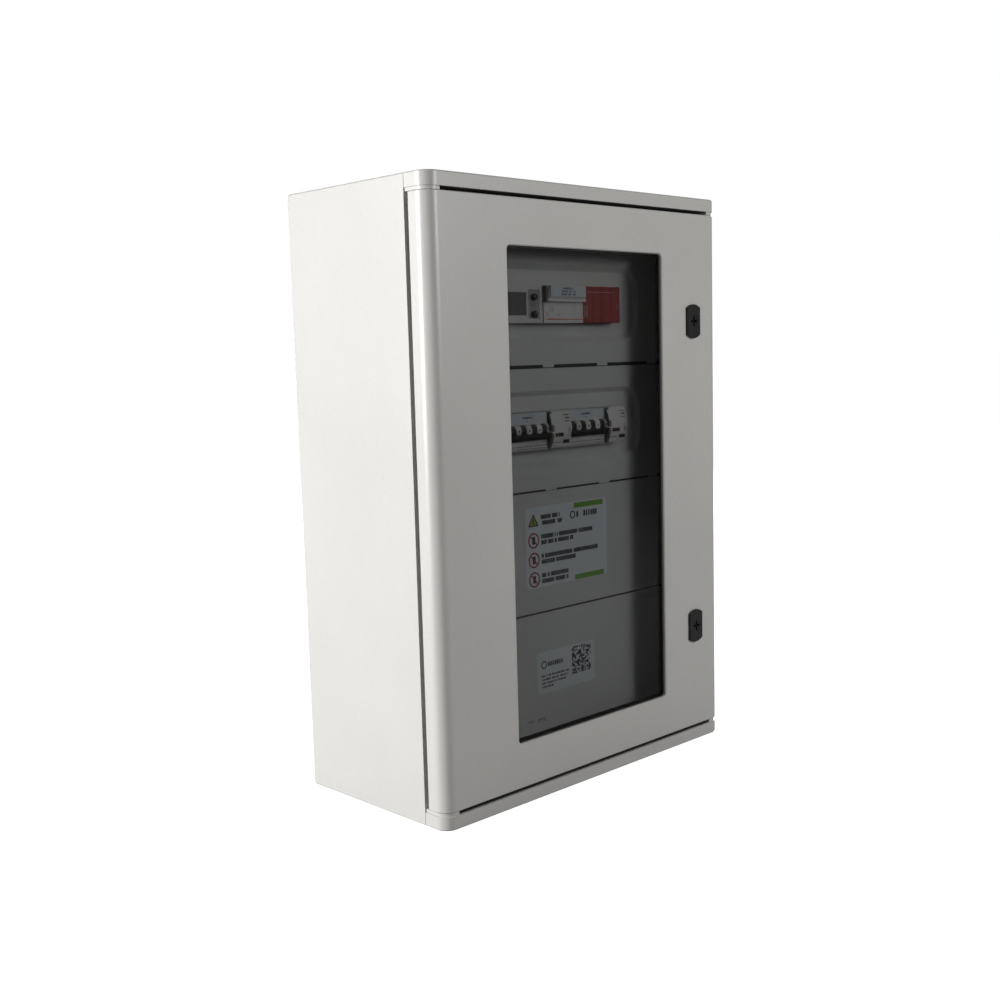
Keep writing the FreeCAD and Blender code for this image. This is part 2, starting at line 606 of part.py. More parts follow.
def relay_parts():
    """Monitoring relay: display window, dial plate with two knobs, raised face bezel."""
    block, x0, x1, z = device_block(ROW_1_START, 4, 0)
    edges = [e for e in block.Edges if is_upright(e) and abs(e.BoundBox.YMin - NOSE_FRONT) < 1e-6
             and abs(e.BoundBox.XMin - x1) < 1e-6]
    block = block.makeFillet(RELAY_EDGE_R, edges)
    display = (x0 + DISPLAY_X[0], x0 + DISPLAY_X[1])
    display_z = (z - DISPLAY_HALF_H, z + DISPLAY_HALF_H)
    block = block.cut(box(*display, NOSE_FRONT - 1, NOSE_FRONT + DISPLAY_WELL, *display_z))
    window = box(*display, NOSE_FRONT + DISPLAY_SUNK, NOSE_FRONT + DISPLAY_WELL, *display_z)
    dial = (x0 + DIAL_X[0], x0 + DIAL_X[1])
    block = block.cut(box(*dial, NOSE_FRONT - 1, NOSE_FRONT + DIAL_SUNK, z - DIAL_HALF_H, z + DIAL_HALF_H))
    knob_x = (dial[0] + dial[1]) / 2
    places = []
    for dz in KNOB_DZ:
        block = block.cut(rod(knob_x, NOSE_FRONT, z + dz, KNOB_SHAFT_R + LOCK_FIT, KNOB_SHAFT_L + 0.5,
                              Y_AXIS))
        places.append((knob_x, z + dz))
    return block, window, places


def relay_knob(x, z):
    """Round setting knob with a pointer slot, on its own short shaft."""
    knob = rod(x, NOSE_FRONT + 0.7 - KNOB_PROUD, z, KNOB_R, KNOB_PROUD, Y_AXIS)
    front = [e for e in knob.Edges if abs(e.BoundBox.YMax - (NOSE_FRONT + 0.7 - KNOB_PROUD)) < 1e-6]
    knob = knob.makeChamfer(0.6, front)
    slot = box(x - 0.6, x + 0.6, NOSE_FRONT - KNOB_PROUD, NOSE_FRONT - KNOB_PROUD + 1.9, z - KNOB_R * 0.8,
               z + KNOB_R * 0.8)
    return knob.fuse(rod(x, NOSE_FRONT, z, KNOB_SHAFT_R, KNOB_SHAFT_L, Y_AXIS)).cut(slot)


LEVER_PIVOT_DY = -2.0        # lever pivot from the nose front
LEVER_PIVOT_DZ = 4.7         # above the slot middle
LEVER_SILL = 3.0
LEVER_CHEEK = 1.75
LEVER_PIN_R = 1.5
FUSE_LEVER_R = NOSE_HALF - LEVER_PIVOT_DZ - FUSE_LEVER_CLEAR
FUSE_START = ROW_1_START + 4 * MODULE
LEVER_Y = NOSE_FRONT + LEVER_PIVOT_DY
LEVER_Z = slot_middle(0) + LEVER_PIVOT_DZ
LEVER_X0 = FUSE_START + LEVER_CHEEK + DEVICE_GAP
LEVER_X1 = FUSE_START + 4 * MODULE - LEVER_CHEEK - DEVICE_GAP


def fuse_parts():
    """Four-pole fuse base with a common hinged lever across its upper half."""
    block, x0, x1, z = device_block(FUSE_START, 4, 0)
    cheek = box(x0, x1, NOSE_FRONT - FUSE_LEVER_PROUD + 1.5, NOSE_FRONT + 1, z + LEVER_SILL, z + NOSE_HALF)
    cheek = cheek.common(rod(x0, LEVER_Y, LEVER_Z, FUSE_LEVER_R - 0.3, x1 - x0, X_AXIS))
    block = block.fuse(cheek)
    room = rod(LEVER_X0 - DEVICE_GAP, LEVER_Y, LEVER_Z, FUSE_LEVER_R + 0.4,
               LEVER_X1 - LEVER_X0 + 2 * DEVICE_GAP,
               X_AXIS)
    keep = box(x0 - 1, x1 + 1, NOSE_FRONT - 20, SHOULDER, z + LEVER_SILL - 0.4, z + NOSE_HALF + 20)
    block = block.cut(room.common(keep))
    front_room = box(LEVER_X0 - DEVICE_GAP, LEVER_X1 + DEVICE_GAP, NOSE_FRONT - 20, LEVER_Y,
                     z + LEVER_SILL - 0.4, z + NOSE_HALF + 1)
    block = block.cut(front_room)
    block = block.cut(rod(x0 - 1, LEVER_Y, LEVER_Z, LEVER_PIN_R + LOCK_FIT, x1 - x0 + 2, X_AXIS))
    lever = rod(LEVER_X0, LEVER_Y, LEVER_Z, FUSE_LEVER_R, LEVER_X1 - LEVER_X0, X_AXIS)
    lever = lever.common(box(LEVER_X0, LEVER_X1, NOSE_FRONT - FUSE_LEVER_PROUD, SHOULDER, z + LEVER_SILL,
                             z + NOSE_HALF + 5))
    pins = rod(x0 + 0.2, LEVER_Y, LEVER_Z, LEVER_PIN_R, x1 - x0 - 0.4, X_AXIS)
    lever = lever.fuse(pins)
    grip = box(LEVER_X0 - 1, LEVER_X1 + 1, NOSE_FRONT - FUSE_LEVER_PROUD - 1,
               NOSE_FRONT - FUSE_LEVER_PROUD + 1.2,
               z + LEVER_SILL - 1, z + LEVER_SILL + 3.5)
    lever = lever.cut(grip)
    fuses = []
    for pole in range(4):
        x = FUSE_START + (pole + 0.5) * MODULE
        y = SHOULDER - 4.0
        fuses.append(rod(x, y, z - FUSE_L / 2, FUSE_R, FUSE_L, Z_AXIS))
        block = block.cut(rod(x, y, z - FUSE_L / 2 - 0.2, FUSE_R + 0.1, FUSE_L + 0.4, Z_AXIS))
    return block.removeSplitter(), lever.removeSplitter(), fuses


SURGE_START = FUSE_START + 4 * MODULE


def surge_parts():
    """Surge arrester: back base and four plug-in cartridges that form its nose."""
    z = slot_middle(0)
    base, x0, x1, _ = device_block(SURGE_START, 4, 0, SHOULDER - 6)
    cartridges = []
    for pole in range(4):
        left = SURGE_START + pole * MODULE + DEVICE_GAP / 2
        right = left + MODULE - DEVICE_GAP
        plug = box(left, right, NOSE_FRONT, SHOULDER - 6, z - NOSE_HALF, z + NOSE_HALF)
        if pole == 3:
            corner = [e for e in plug.Edges if abs(e.BoundBox.XMin - right) < 1e-6 and e.BoundBox.YLength > 1]
            plug = plug.makeFillet(2.5, corner)
        front = [e for e in plug.Edges if abs(e.BoundBox.YMax - NOSE_FRONT) < 1e-6]
        cartridges.append(plug.makeChamfer(0.5, front))
    return base, cartridges


DRUM_Y = NOSE_FRONT + 5.0
DRUM_DZ = 1.0
AXLE_R = 2.0
BAR_GAP = 0.7                # tie bar to the cheeks it swings over
BAR_HALF_H = 3.0
LABEL_LOW = 9.5              # label strip, above the slot middle
LABEL_HIGH = 21.5


def breaker_parts(start):
    """Four-pole circuit breaker: housing, tied toggles, and the label strip on its nose."""
    block, x0, x1, z = device_block(start, 4, 1)
    axis_z = z + DRUM_DZ
    toggles = [rod(x0 + 0.7, DRUM_Y, axis_z, AXLE_R, x1 - x0 - 1.4, X_AXIS)]
    for pole in range(4):
        middle = start + (pole + 0.5) * MODULE
        cheek_x = middle + TOGGLE_W / 2 + 0.3
        width = MODULE - TOGGLE_W - 0.6
        if pole == 3:
            width = x1 - cheek_x
        block = block.fuse(rod(cheek_x, DRUM_Y, axis_z, CHEEK_R, width, X_AXIS))
        if pole == 0:
            block = block.fuse(rod(x0, DRUM_Y, axis_z, CHEEK_R, middle - TOGGLE_W / 2 - 0.3 - x0, X_AXIS))
    for pole in range(4):
        middle = start + (pole + 0.5) * MODULE
        block = block.cut(rod(middle - TOGGLE_W / 2 - 0.3, DRUM_Y, axis_z, DRUM_R + 0.4, TOGGLE_W + 0.6,
                              X_AXIS))
        toggles.append(rod(middle - TOGGLE_W / 2, DRUM_Y, axis_z, DRUM_R, TOGGLE_W, X_AXIS))
        arm = box(middle - TOGGLE_W / 2, middle + TOGGLE_W / 2, DRUM_Y - BAR_REACH + 0.5, DRUM_Y,
                  axis_z - BAR_HALF_H, axis_z + BAR_HALF_H)
        arm.rotate(V(0, DRUM_Y, axis_z), X_AXIS, TOGGLE_REST)
        toggles.append(arm)
        line_x = start + pole * MODULE
        if pole:
            block = block.cut(box(line_x - 0.2, line_x + 0.2, SHOULDER - 8, SHOULDER + 6, z - 50, z + 50))
            block = block.cut(box(line_x - 0.2, line_x + 0.2, NOSE_FRONT - 1, NOSE_FRONT + 0.5, z - 30,
                                  z - 11))
    block = block.cut(rod(x0 - 1, DRUM_Y, axis_z, AXLE_R + LOCK_FIT, x1 - x0 + 2, X_AXIS))
    bar = box(x0 + 1.0, x1 - 1.5, DRUM_Y - BAR_REACH, DRUM_Y - CHEEK_R - BAR_GAP, axis_z - BAR_HALF_H,
              axis_z + BAR_HALF_H)
    bar = bar.makeFillet(1.2, [e for e in bar.Edges if e.BoundBox.XLength > 1])
    bar.rotate(V(0, DRUM_Y, axis_z), X_AXIS, TOGGLE_REST)
    toggles.append(bar)
    block = block.cut(box(x0 + 0.8, x1 - 0.8, NOSE_FRONT - 1, NOSE_FRONT + 0.8, z + LABEL_LOW + 1,
                          z + LABEL_HIGH))
    label = box(x0 + 0.9, x1 - 0.9, NOSE_FRONT - 0.1, NOSE_FRONT + 0.8, z + LABEL_LOW + 1.1,
                z + LABEL_HIGH - 0.1)
    block = block.cut(box(x0 - 1, x1 + 1, NOSE_FRONT - 1, NOSE_FRONT + 1.0, z - NOSE_HALF + 4.5,
                          z - NOSE_HALF + 5.3))
    return block.removeSplitter(), join(toggles), label


RCD_PROUD = 7.5              # most that a residual-current block stands in front of the noses


def rcd_parts(start):
    """Residual-current block: bowed nose, dark indicator window, test button and trip pin."""
    block, x0, x1, z = device_block(start, 2, 1)
    top = V(x0, NOSE_FRONT - 2, z + NOSE_HALF)
    bulge = V(x0, NOSE_FRONT - RCD_PROUD, z)
    low = V(x0, NOSE_FRONT - 1, z - NOSE_HALF)
    back_low = V(x0, NOSE_FRONT + 1, z - NOSE_HALF)
    back_top = V(x0, NOSE_FRONT + 1, z + NOSE_HALF)
    edges = [Part.Arc(top, bulge, low).toShape(), Part.makeLine(low, back_low), Part.makeLine(back_low,
                                                                                              back_top),
             Part.makeLine(back_top, top)]
    nose = Part.Face(Part.Wire(edges)).extrude(V(x1 - x0, 0, 0))
    block = block.fuse(nose).removeSplitter()
    window_low = z - 8.3
    window = box(x0 + 6.5, x0 + 21.5, NOSE_FRONT - 6.2, NOSE_FRONT - 1, window_low, window_low + 4.4)
    block = block.cut(box(x0 + 6.5, x0 + 21.5, NOSE_FRONT - 20, NOSE_FRONT - 1, window_low, window_low + 4.4))
    button_x = x1 - 2.0 - BUTTON_W
    button_z = z - 17.0
    well = box(button_x, x1 - 2.0, NOSE_FRONT - 20, NOSE_FRONT + 6, button_z, button_z + BUTTON_H)
    block = block.cut(well)
    fit = 0.3
    button = box(button_x + fit, x1 - 2.0 - fit, NOSE_FRONT - 5.6, NOSE_FRONT + 6 - BUTTON_TRAVEL - fit,
                 button_z + fit, button_z + BUTTON_H - fit)
    block = block.cut(box(x0 - 1, x1 - 16, NOSE_FRONT - 20, NOSE_FRONT - 2.2, z - 15.6, z - 15.0))
    return block, window, button, (button_x + BUTTON_W / 2, button_z + BUTTON_H / 2)


def trip_pin(start):
    """White pin that carries a trip from the residual-current block to the toggles."""
    z = slot_middle(1) - 2.0
    return rod(start - 0.9, NOSE_FRONT - 5.6, z, 1.2, 0.9 + DEVICE_GAP / 2, X_AXIS)


def slot_blank(start, row):
    """Filler that closes the unused end of a device slot."""
    end = SLOT_HALF - 0.1
    z = slot_middle(row)
    plate = box(start + 0.3, end, FIELD_FRONT, FIELD_FRONT + COVER_T, z - SLOT_H / 2 + 0.1,
                z + SLOT_H / 2 - 0.1)
    return plate.fuse(box(start + 1.0, end - 1.0, FIELD_FRONT + COVER_T, FIELD_FRONT + COVER_T + 5,
                          z - SLOT_H / 2 + 2, z + SLOT_H / 2 - 2))


relay_housing, relay_window, knob_places = relay_parts()
node("relay_housing", relay_housing)
node("relay_display", relay_window)
node("relay_knob_upper", relay_knob(*knob_places[0]))
node("relay_knob_lower", relay_knob(*knob_places[1]))
fuse_base, fuse_lever, fuse_links = fuse_parts()
node("fuse_base", fuse_base)
node("fuse_lever", fuse_lever)
node("fuse_cartridges", fuse_links)
surge_base, surge_cartridges = surge_parts()
node("surge_base", surge_base)
node("surge_cartridges", surge_cartridges)

breaker_labels = []
rcd_windows = []
rcd_pins = []
for number in (1, 2):
    start = ROW_2_START + (number - 1) * 6 * MODULE
    housing, toggles, label = breaker_parts(start)
    node("breaker_%d_housing" % number, housing)
    node("breaker_%d_toggles" % number, toggles)
    breaker_labels.append(label)
    rcd_start = start + 4 * MODULE
    rcd_housing, rcd_window, rcd_button, button_place = rcd_parts(rcd_start)
    node("rcd_%d_housing" % number, rcd_housing)
    node("rcd_%d_test_button" % number, rcd_button)
    rcd_windows.append(rcd_window)
    rcd_pins.append(trip_pin(rcd_start))
node("breaker_label_strips", breaker_labels)
node("rcd_windows", rcd_windows)
node("rcd_trip_pins", rcd_pins)
node("slot_blanks", [slot_blank(SURGE_START + 4 * MODULE, 0), slot_blank(ROW_2_START + 12 * MODULE, 1)])


# ---------------------------------------------------------------- terminals and earth bar
TERMINAL_W = 8.0
TERMINAL_H = 50.0
TERMINAL_D = 46.0
TERMINAL_COUNT = 14
TERMINAL_START = -120.0
TERMINAL_SCREW_DZ = 17.0
EARTH_Z = row_middle(ROW_COUNT - 1) - 20.0
EARTH_BAR = (2 * (UPRIGHT_X - 10.0), 9.0, 14.0)
EARTH_SUPPORT_D = 16.0
EARTH_SCREW_PITCH = 22.0


def terminal_block(index):
    """Feed-through terminal clipped on the third rail, with a screw well at each end."""
    x0 = TERMINAL_START + index * TERMINAL_W + 0.1
    x1 = x0 + TERMINAL_W - 0.2
    z = slot_middle(2)
    half = TERMINAL_H / 2
    front = RAIL_FRONT - TERMINAL_D
    outline = [(RAIL_BACK - 1.5, half - 5), (RAIL_BACK - 1.5, -half + 5), (RAIL_FRONT - 14, -half),
               (front + 12, -half), (front, -half + 10), (front, half - 10), (front + 12, half),
               (RAIL_FRONT - 14, half)]
    block = side_profile([(y, z + dz) for y, dz in outline], x0, x1)
    rail_half = RAIL_H / 2
    block = block.cut(box(x0 - 1, x1 + 1, RAIL_FRONT - 0.1, RAIL_FRONT + RAIL_T + 0.1, z - rail_half - 0.1,
                          z + rail_half + 0.1))
    block = block.cut(box(x0 - 1, x1 + 1, RAIL_FRONT, RAIL_BACK, z - rail_half + RAIL_CATCH,
                          z + rail_half - RAIL_CATCH))
    for dz in (-TERMINAL_SCREW_DZ, TERMINAL_SCREW_DZ):
        block = block.cut(rod((x0 + x1) / 2, front - 1, z + dz, 2.6, 22, Y_AXIS))
    return block


def end_stop(x):
    z = slot_middle(2)
    half = RAIL_H / 2 + 4
    stop = box(x, x + TERMINAL_W, RAIL_FRONT - 30, RAIL_BACK - 1.5, z - half, z + half)
    stop = stop.cut(box(x - 1, x + TERMINAL_W + 1, RAIL_FRONT - 0.1, RAIL_FRONT + RAIL_T + 0.1,
                        z - RAIL_H / 2 - 0.1,
                        z + RAIL_H / 2 + 0.1))
    return stop.cut(box(x - 1, x + TERMINAL_W + 1, RAIL_FRONT, RAIL_BACK, z - RAIL_H / 2 + RAIL_CATCH,
                        z + RAIL_H / 2 - RAIL_CATCH))


def earth_bar():
    length, depth, height = EARTH_BAR
    y1 = UPRIGHT_FRONT - EARTH_SUPPORT_D
    bar = box(-length / 2, length / 2, y1 - depth, y1, EARTH_Z - height / 2, EARTH_Z + height / 2)
    for x in earth_screw_places():
        bar = bar.cut(rod(x, y1 - depth - 1, EARTH_Z, 2.5, depth + 2, Y_AXIS))
    return bar


def earth_screw_places():
    steps = int(EARTH_BAR[0] / 2 / EARTH_SCREW_PITCH) - 1
    return [step * EARTH_SCREW_PITCH for step in range(-steps + 1, steps)]


def earth_support(side):
    """Moulded foot between an upright and the earth bar."""
    x = side * (UPRIGHT_X - UPRIGHT_W / 4)
    return box(x - 6, x + 6, UPRIGHT_FRONT - EARTH_SUPPORT_D, UPRIGHT_FRONT, EARTH_Z - 12, EARTH_Z + 12)


node("terminal_blocks", [terminal_block(index) for index in range(TERMINAL_COUNT)])
node("terminal_end_stops", [end_stop(TERMINAL_START - TERMINAL_W - 0.2),
                            end_stop(TERMINAL_START + TERMINAL_COUNT * TERMINAL_W + 0.2)])
node("earth_bar", earth_bar())
node("earth_bar_supports", [earth_support(side) for side in SIDES])
node("earth_bar_screws", [screw(x, UPRIGHT_FRONT - EARTH_SUPPORT_D - EARTH_BAR[1], EARTH_Z, 4.0, 2.6, 2.45, 8)
                          for x in earth_screw_places()])

# ---------------------------------------------------------------- adhesive labels on the covers
LABEL_T = 0.3
node("safety_label", slab(149.0, 99.0, 5.0, COVER_FRONT - LABEL_T, COVER_FRONT, 0.5, row_middle(2) + 6.5))
node("data_label", slab(106.5, 52.5, 1.0, COVER_FRONT - LABEL_T, COVER_FRONT, -6.0, row_middle(3) - 1.0))


# ---------------------------------------------------------------- door
SEAL_FACE = LIP_FRONT - SEAL_CLEAR
PANE_W = WINDOW_W + 2 * PANE_LAP
PANE_H = WINDOW_H + 2 * PANE_LAP
PANE_FRONT = DOOR_INNER + PANE_SEAL_T
PANE_BACK = PANE_FRONT + PANE_T
CLIP_BOSS_OUT = 7.0          # clip boss centre beyond the pane's edge
CLIP_BOSS_R = 4.5
CLIP_T = 2.0
CLIP_W = 16.0
CLIP_LAP = 5.0
CLIP_SCREW_R = 1.5
CLIP_SCREW_L = 6.5
CLIP_SCREW_HEAD = 2.0
CLIP_SIDE_Z = (-240.0, -80.0, 80.0, 240.0)
CLIP_END_X = (-80.0, 80.0)
RIB_OUTER_X = SEAL_X + SEAL_W / 2 + RIB_T
COLLAR_WALL = 2.5            # hinge pin's collar
COLLAR_H = 10.0
HINGE_PLATE_L = 34.0
HINGE_PLATE_GAP = 1.5        # plate to the outer seal rib


def ring(out_w, out_h, out_r, in_w, in_h, in_r, y_front, y_back):
    return slab(out_w, out_h, out_r, y_front, y_back).cut(slab(in_w, in_h, in_r, y_front - 1, y_back + 1))


def clip_places():
    """Middle of each clip boss, and the direction from it to the pane."""
    x = PANE_W / 2 + CLIP_BOSS_OUT
    z = PANE_H / 2 + CLIP_BOSS_OUT
    places = [(side * x, dz, -side, 0) for side in SIDES for dz in CLIP_SIDE_Z]
    return places + [(dx, end * z, 0, -end) for end in SIDES for dx in CLIP_END_X]


def door_shell():
    """Shallow moulded tray with the window opening, seal ribs, lock holes and clip bosses."""
    door = upright_block(BOX_W, 2 * DOOR_TOP, FRONT, FLANGE_BACK, FRONT_CORNER_R, 0)
    ends = [e for e in door.Edges if e.BoundBox.ZLength < 1e-6 and e.BoundBox.YMin < FLANGE_BACK - 1]
    door = door.makeChamfer(EDGE_BREAK * 0.6, ends)
    hollow = upright_block(BOX_W - 2 * WALL, 2 * (DOOR_TOP - WALL), DOOR_INNER, FLANGE_BACK + 1,
                           FRONT_CORNER_R - WALL, 0)
    door = door.cut(hollow)
    outer_rib = ring(2 * SEAL_X + SEAL_W + 2 * RIB_T, 2 * SEAL_Z + SEAL_W + 2 * RIB_T, LIP_WALL * 2,
                     2 * SEAL_X + SEAL_W, 2 * SEAL_Z + SEAL_W, LIP_WALL * 2, DOOR_INNER - 0.5,
                     DOOR_INNER + RIB_H)
    inner_rib = ring(2 * SEAL_X - SEAL_W, 2 * SEAL_Z - SEAL_W, LIP_WALL,
                     2 * SEAL_X - SEAL_W - 2 * RIB_T, 2 * SEAL_Z - SEAL_W - 2 * RIB_T, LIP_WALL,
                     DOOR_INNER - 0.5, DOOR_INNER + RIB_H)
    door = door.fuse(outer_rib).fuse(inner_rib)
    for x, z, _, _ in clip_places():
        door = door.fuse(rod(x, DOOR_INNER - 0.5, z, CLIP_BOSS_R, PANE_BACK - DOOR_INNER + 0.5, Y_AXIS))
        door = door.cut(rod(x, DOOR_INNER, z, CLIP_SCREW_R, PANE_BACK - DOOR_INNER + 1, Y_AXIS))
    door = door.cut(slab(WINDOW_W, WINDOW_H, WINDOW_R, FRONT - 1, DOOR_INNER + 1))
    bevel = taper((WINDOW_W + 2 * WINDOW_BEVEL, WINDOW_H + 2 * WINDOW_BEVEL, WINDOW_R + WINDOW_BEVEL),
                  (WINDOW_W, WINDOW_H, WINDOW_R), FRONT, FRONT + WINDOW_BEVEL)
    door = door.cut(bevel)
    for z in LOCK_HEIGHTS:
        door = door.cut(rod(LOCK_X, FRONT - 1, z, LOCK_BARREL_R + 0.1, WALL + 2, Y_AXIS))
    for end in (-1, 1):
        door = door.cut(rod(PIVOT_X, PIVOT_Y, end * (DOOR_TOP - WALL / 2) - WALL, PIN_R, 2 * WALL, Z_AXIS))
    return door.removeSplitter()


def pane_clip(x, z, dx, dz):
    """Flat clip screwed to a boss; its tongue holds the pane."""
    reach = CLIP_BOSS_OUT + CLIP_LAP
    half = CLIP_W / 2
    if dx:
        plate = box(x - dx * CLIP_BOSS_R, x + dx * reach, PANE_BACK, PANE_BACK + CLIP_T, z - half, z + half)
    else:
        plate = box(x - half, x + half, PANE_BACK, PANE_BACK + CLIP_T, z - dz * CLIP_BOSS_R, z + dz * reach)
    return plate.cut(rod(x, PANE_BACK - 1, z, CLIP_SCREW_R + 0.1, CLIP_T + 2, Y_AXIS))


def clip_screw(x, z):
    head = rod(x, PANE_BACK + CLIP_T, z, 2 * CLIP_SCREW_R, CLIP_SCREW_HEAD, Y_AXIS)
    return head.fuse(rod(x, PANE_BACK + CLIP_T - CLIP_SCREW_L, z, CLIP_SCREW_R, CLIP_SCREW_L, Y_AXIS))


def hinge_pin(end):
    """Steel pivot pin with a collar, on a plate fixed inside the door's corner."""
    root = DOOR_TOP - WALL
    length = RIM_UNDER + WALL - root
    start = root if end > 0 else -root - length
    pin = rod(PIVOT_X, PIVOT_Y, start, PIN_R, length, Z_AXIS)
    collar = rod(PIVOT_X, PIVOT_Y, min(end * root, end * (root - COLLAR_H)), PIN_R + COLLAR_WALL, COLLAR_H,
                 Z_AXIS)
    plate = box(-HALF_W + FRONT_CORNER_R + 1, -RIB_OUTER_X - HINGE_PLATE_GAP, DOOR_INNER, PIVOT_Y - PIN_R / 2,
                end * root, end * (root - HINGE_PLATE_L))
    return join([pin, collar, plate])


node("door_shell", door_shell())
node("door_gasket", ring(2 * SEAL_X + SEAL_W, 2 * SEAL_Z + SEAL_W, LIP_WALL * 2, 2 * SEAL_X - SEAL_W,
                         2 * SEAL_Z - SEAL_W, LIP_WALL, DOOR_INNER, SEAL_FACE))
node("window_gasket", ring(PANE_W, PANE_H, WINDOW_R, WINDOW_W - 2 * PANE_SEAL_SHOW,
                           WINDOW_H - 2 * PANE_SEAL_SHOW,
                           WINDOW_R - PANE_SEAL_SHOW, DOOR_INNER, PANE_FRONT))
node("window_pane", slab(PANE_W, PANE_H, WINDOW_R, PANE_FRONT, PANE_BACK))
node("pane_clips", [pane_clip(*place) for place in clip_places()])
node("pane_clip_screws", [clip_screw(x, z) for x, z, _, _ in clip_places()])
node("hinge_pins", [hinge_pin(end) for end in (1, -1)])


# ---------------------------------------------------------------- locks
def lock_housing(z):
    """Escutcheon with bowed ends and straight sides, and a threaded barrel through the door."""
    y = FRONT - LOCK_PLATE_T
    plate = rod(LOCK_X, y, z, LOCK_PLATE_H / 2, LOCK_PLATE_T, Y_AXIS)
    plate = plate.common(box(LOCK_X - LOCK_PLATE_W / 2, LOCK_X + LOCK_PLATE_W / 2, y - 1, FRONT + 1, z - 40,
                             z + 40))
    rim = [e for e in plate.Edges if abs(e.BoundBox.YMax - y) < 1e-6]
    plate = plate.makeChamfer(0.8, rim)
    barrel = rod(LOCK_X, FRONT, z, LOCK_BARREL_R, LOCK_BARREL_L - KEEPER_T, Y_AXIS)
    bore = rod(LOCK_X, y - 1, z, LOCK_INSERT_R + LOCK_FIT, LOCK_PLATE_T + LOCK_BARREL_L, Y_AXIS)
    return plate.fuse(barrel).removeSplitter().cut(bore)


def lock_nut(z):
    nut = hexagon(LOCK_X, DOOR_INNER, z, LOCK_NUT_AF, LOCK_NUT_T)
    return nut.cut(rod(LOCK_X, DOOR_INNER - 1, z, LOCK_BARREL_R, LOCK_NUT_T + 2, Y_AXIS))


SOCKET_REACH = 6.2
SOCKET_W = 3.2
SOCKET_D = 4.0
SQUARE_W = 7.0


def lock_insert(z):
    """Turning core with a cross-shaped key socket in front and a square tail behind."""
    front = FRONT - LOCK_PLATE_T + 0.5
    core = rod(LOCK_X, front, z, LOCK_INSERT_R, KEEPER_Y - KEEPER_T - front, Y_AXIS)
    long_half = SOCKET_REACH
    short_half = SOCKET_W / 2
    core = core.cut(box(LOCK_X - long_half, LOCK_X + long_half, front - 1, front + SOCKET_D, z - short_half,
                        z + short_half))
    core = core.cut(box(LOCK_X - short_half, LOCK_X + short_half, front - 1, front + SOCKET_D, z - long_half,
                        z + long_half))
    tail = box(LOCK_X - SQUARE_W / 2, LOCK_X + SQUARE_W / 2, KEEPER_Y - KEEPER_T - 1, CAM_Y + CAM_T + 1,
               z - SQUARE_W / 2, z + SQUARE_W / 2)
    pin = rod(LOCK_X, front + 0.4, z, 0.9, SOCKET_D, Y_AXIS)
    return join([core, tail, pin])


def lock_cam(z, end):
    """Steel cam on the square tail, lying upright while the lock is open."""
    tip = z - end * CAM_REACH
    cam = box(LOCK_X - CAM_W / 2, LOCK_X + CAM_W / 2, CAM_Y, CAM_Y + CAM_T, z + end * SQUARE_W, tip)
    cam = cam.common(rod(LOCK_X, CAM_Y, z, CAM_REACH, CAM_T, Y_AXIS))
    return cam.cut(box(LOCK_X - SQUARE_W / 2, LOCK_X + SQUARE_W / 2, CAM_Y - 1, CAM_Y + CAM_T + 1,
                       z - SQUARE_W / 2, z + SQUARE_W / 2))


node("lock_housings", [lock_housing(z) for z in LOCK_HEIGHTS])
node("lock_nuts", [lock_nut(z) for z in LOCK_HEIGHTS])
node("upper_lock_insert", lock_insert(LOCK_Z))
node("upper_lock_cam", lock_cam(LOCK_Z, 1))
node("lower_lock_insert", lock_insert(-LOCK_Z))
node("lower_lock_cam", lock_cam(-LOCK_Z, -1))

# ---------------------------------------------------------------- write one file per piece
os.makedirs("parts", exist_ok=True)
for name, shape in NODES.items():
    solids = shape.Solids
    if not shape.isValid() or not solids:
        raise ValueError("bad shape: " + name)
    shape.exportStep("parts/%s.step" % name)
    print("%-24s %3d solid(s) %10.1f mm3" % (name, len(solids), sum(s.Volume for s in solids)))
print(len(NODES), "pieces")
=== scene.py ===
"""Wall cabinet with a window door, its rail-mounted devices, inner covers and locks."""

import bmesh
import bpy
from functools import partial
from math import cos, radians, sin
from mathutils import Matrix, Vector


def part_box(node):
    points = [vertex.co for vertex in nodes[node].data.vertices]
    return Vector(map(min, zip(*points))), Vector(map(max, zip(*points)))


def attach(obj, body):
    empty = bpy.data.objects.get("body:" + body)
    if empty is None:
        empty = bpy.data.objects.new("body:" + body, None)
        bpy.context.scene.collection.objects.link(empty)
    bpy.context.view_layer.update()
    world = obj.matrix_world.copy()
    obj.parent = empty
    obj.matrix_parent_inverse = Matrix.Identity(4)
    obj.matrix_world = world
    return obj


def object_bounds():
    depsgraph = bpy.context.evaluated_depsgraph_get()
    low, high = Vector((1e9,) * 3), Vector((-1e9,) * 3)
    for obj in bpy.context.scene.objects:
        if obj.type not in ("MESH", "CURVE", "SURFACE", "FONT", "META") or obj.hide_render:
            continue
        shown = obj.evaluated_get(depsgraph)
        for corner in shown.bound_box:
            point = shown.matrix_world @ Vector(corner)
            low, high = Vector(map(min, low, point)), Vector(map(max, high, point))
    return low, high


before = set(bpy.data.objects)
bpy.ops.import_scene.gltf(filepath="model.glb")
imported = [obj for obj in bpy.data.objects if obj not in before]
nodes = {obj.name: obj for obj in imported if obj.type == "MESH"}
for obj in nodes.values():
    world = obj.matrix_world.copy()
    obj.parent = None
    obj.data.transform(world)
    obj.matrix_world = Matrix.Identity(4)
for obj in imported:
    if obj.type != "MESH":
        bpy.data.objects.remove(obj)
cad_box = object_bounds()


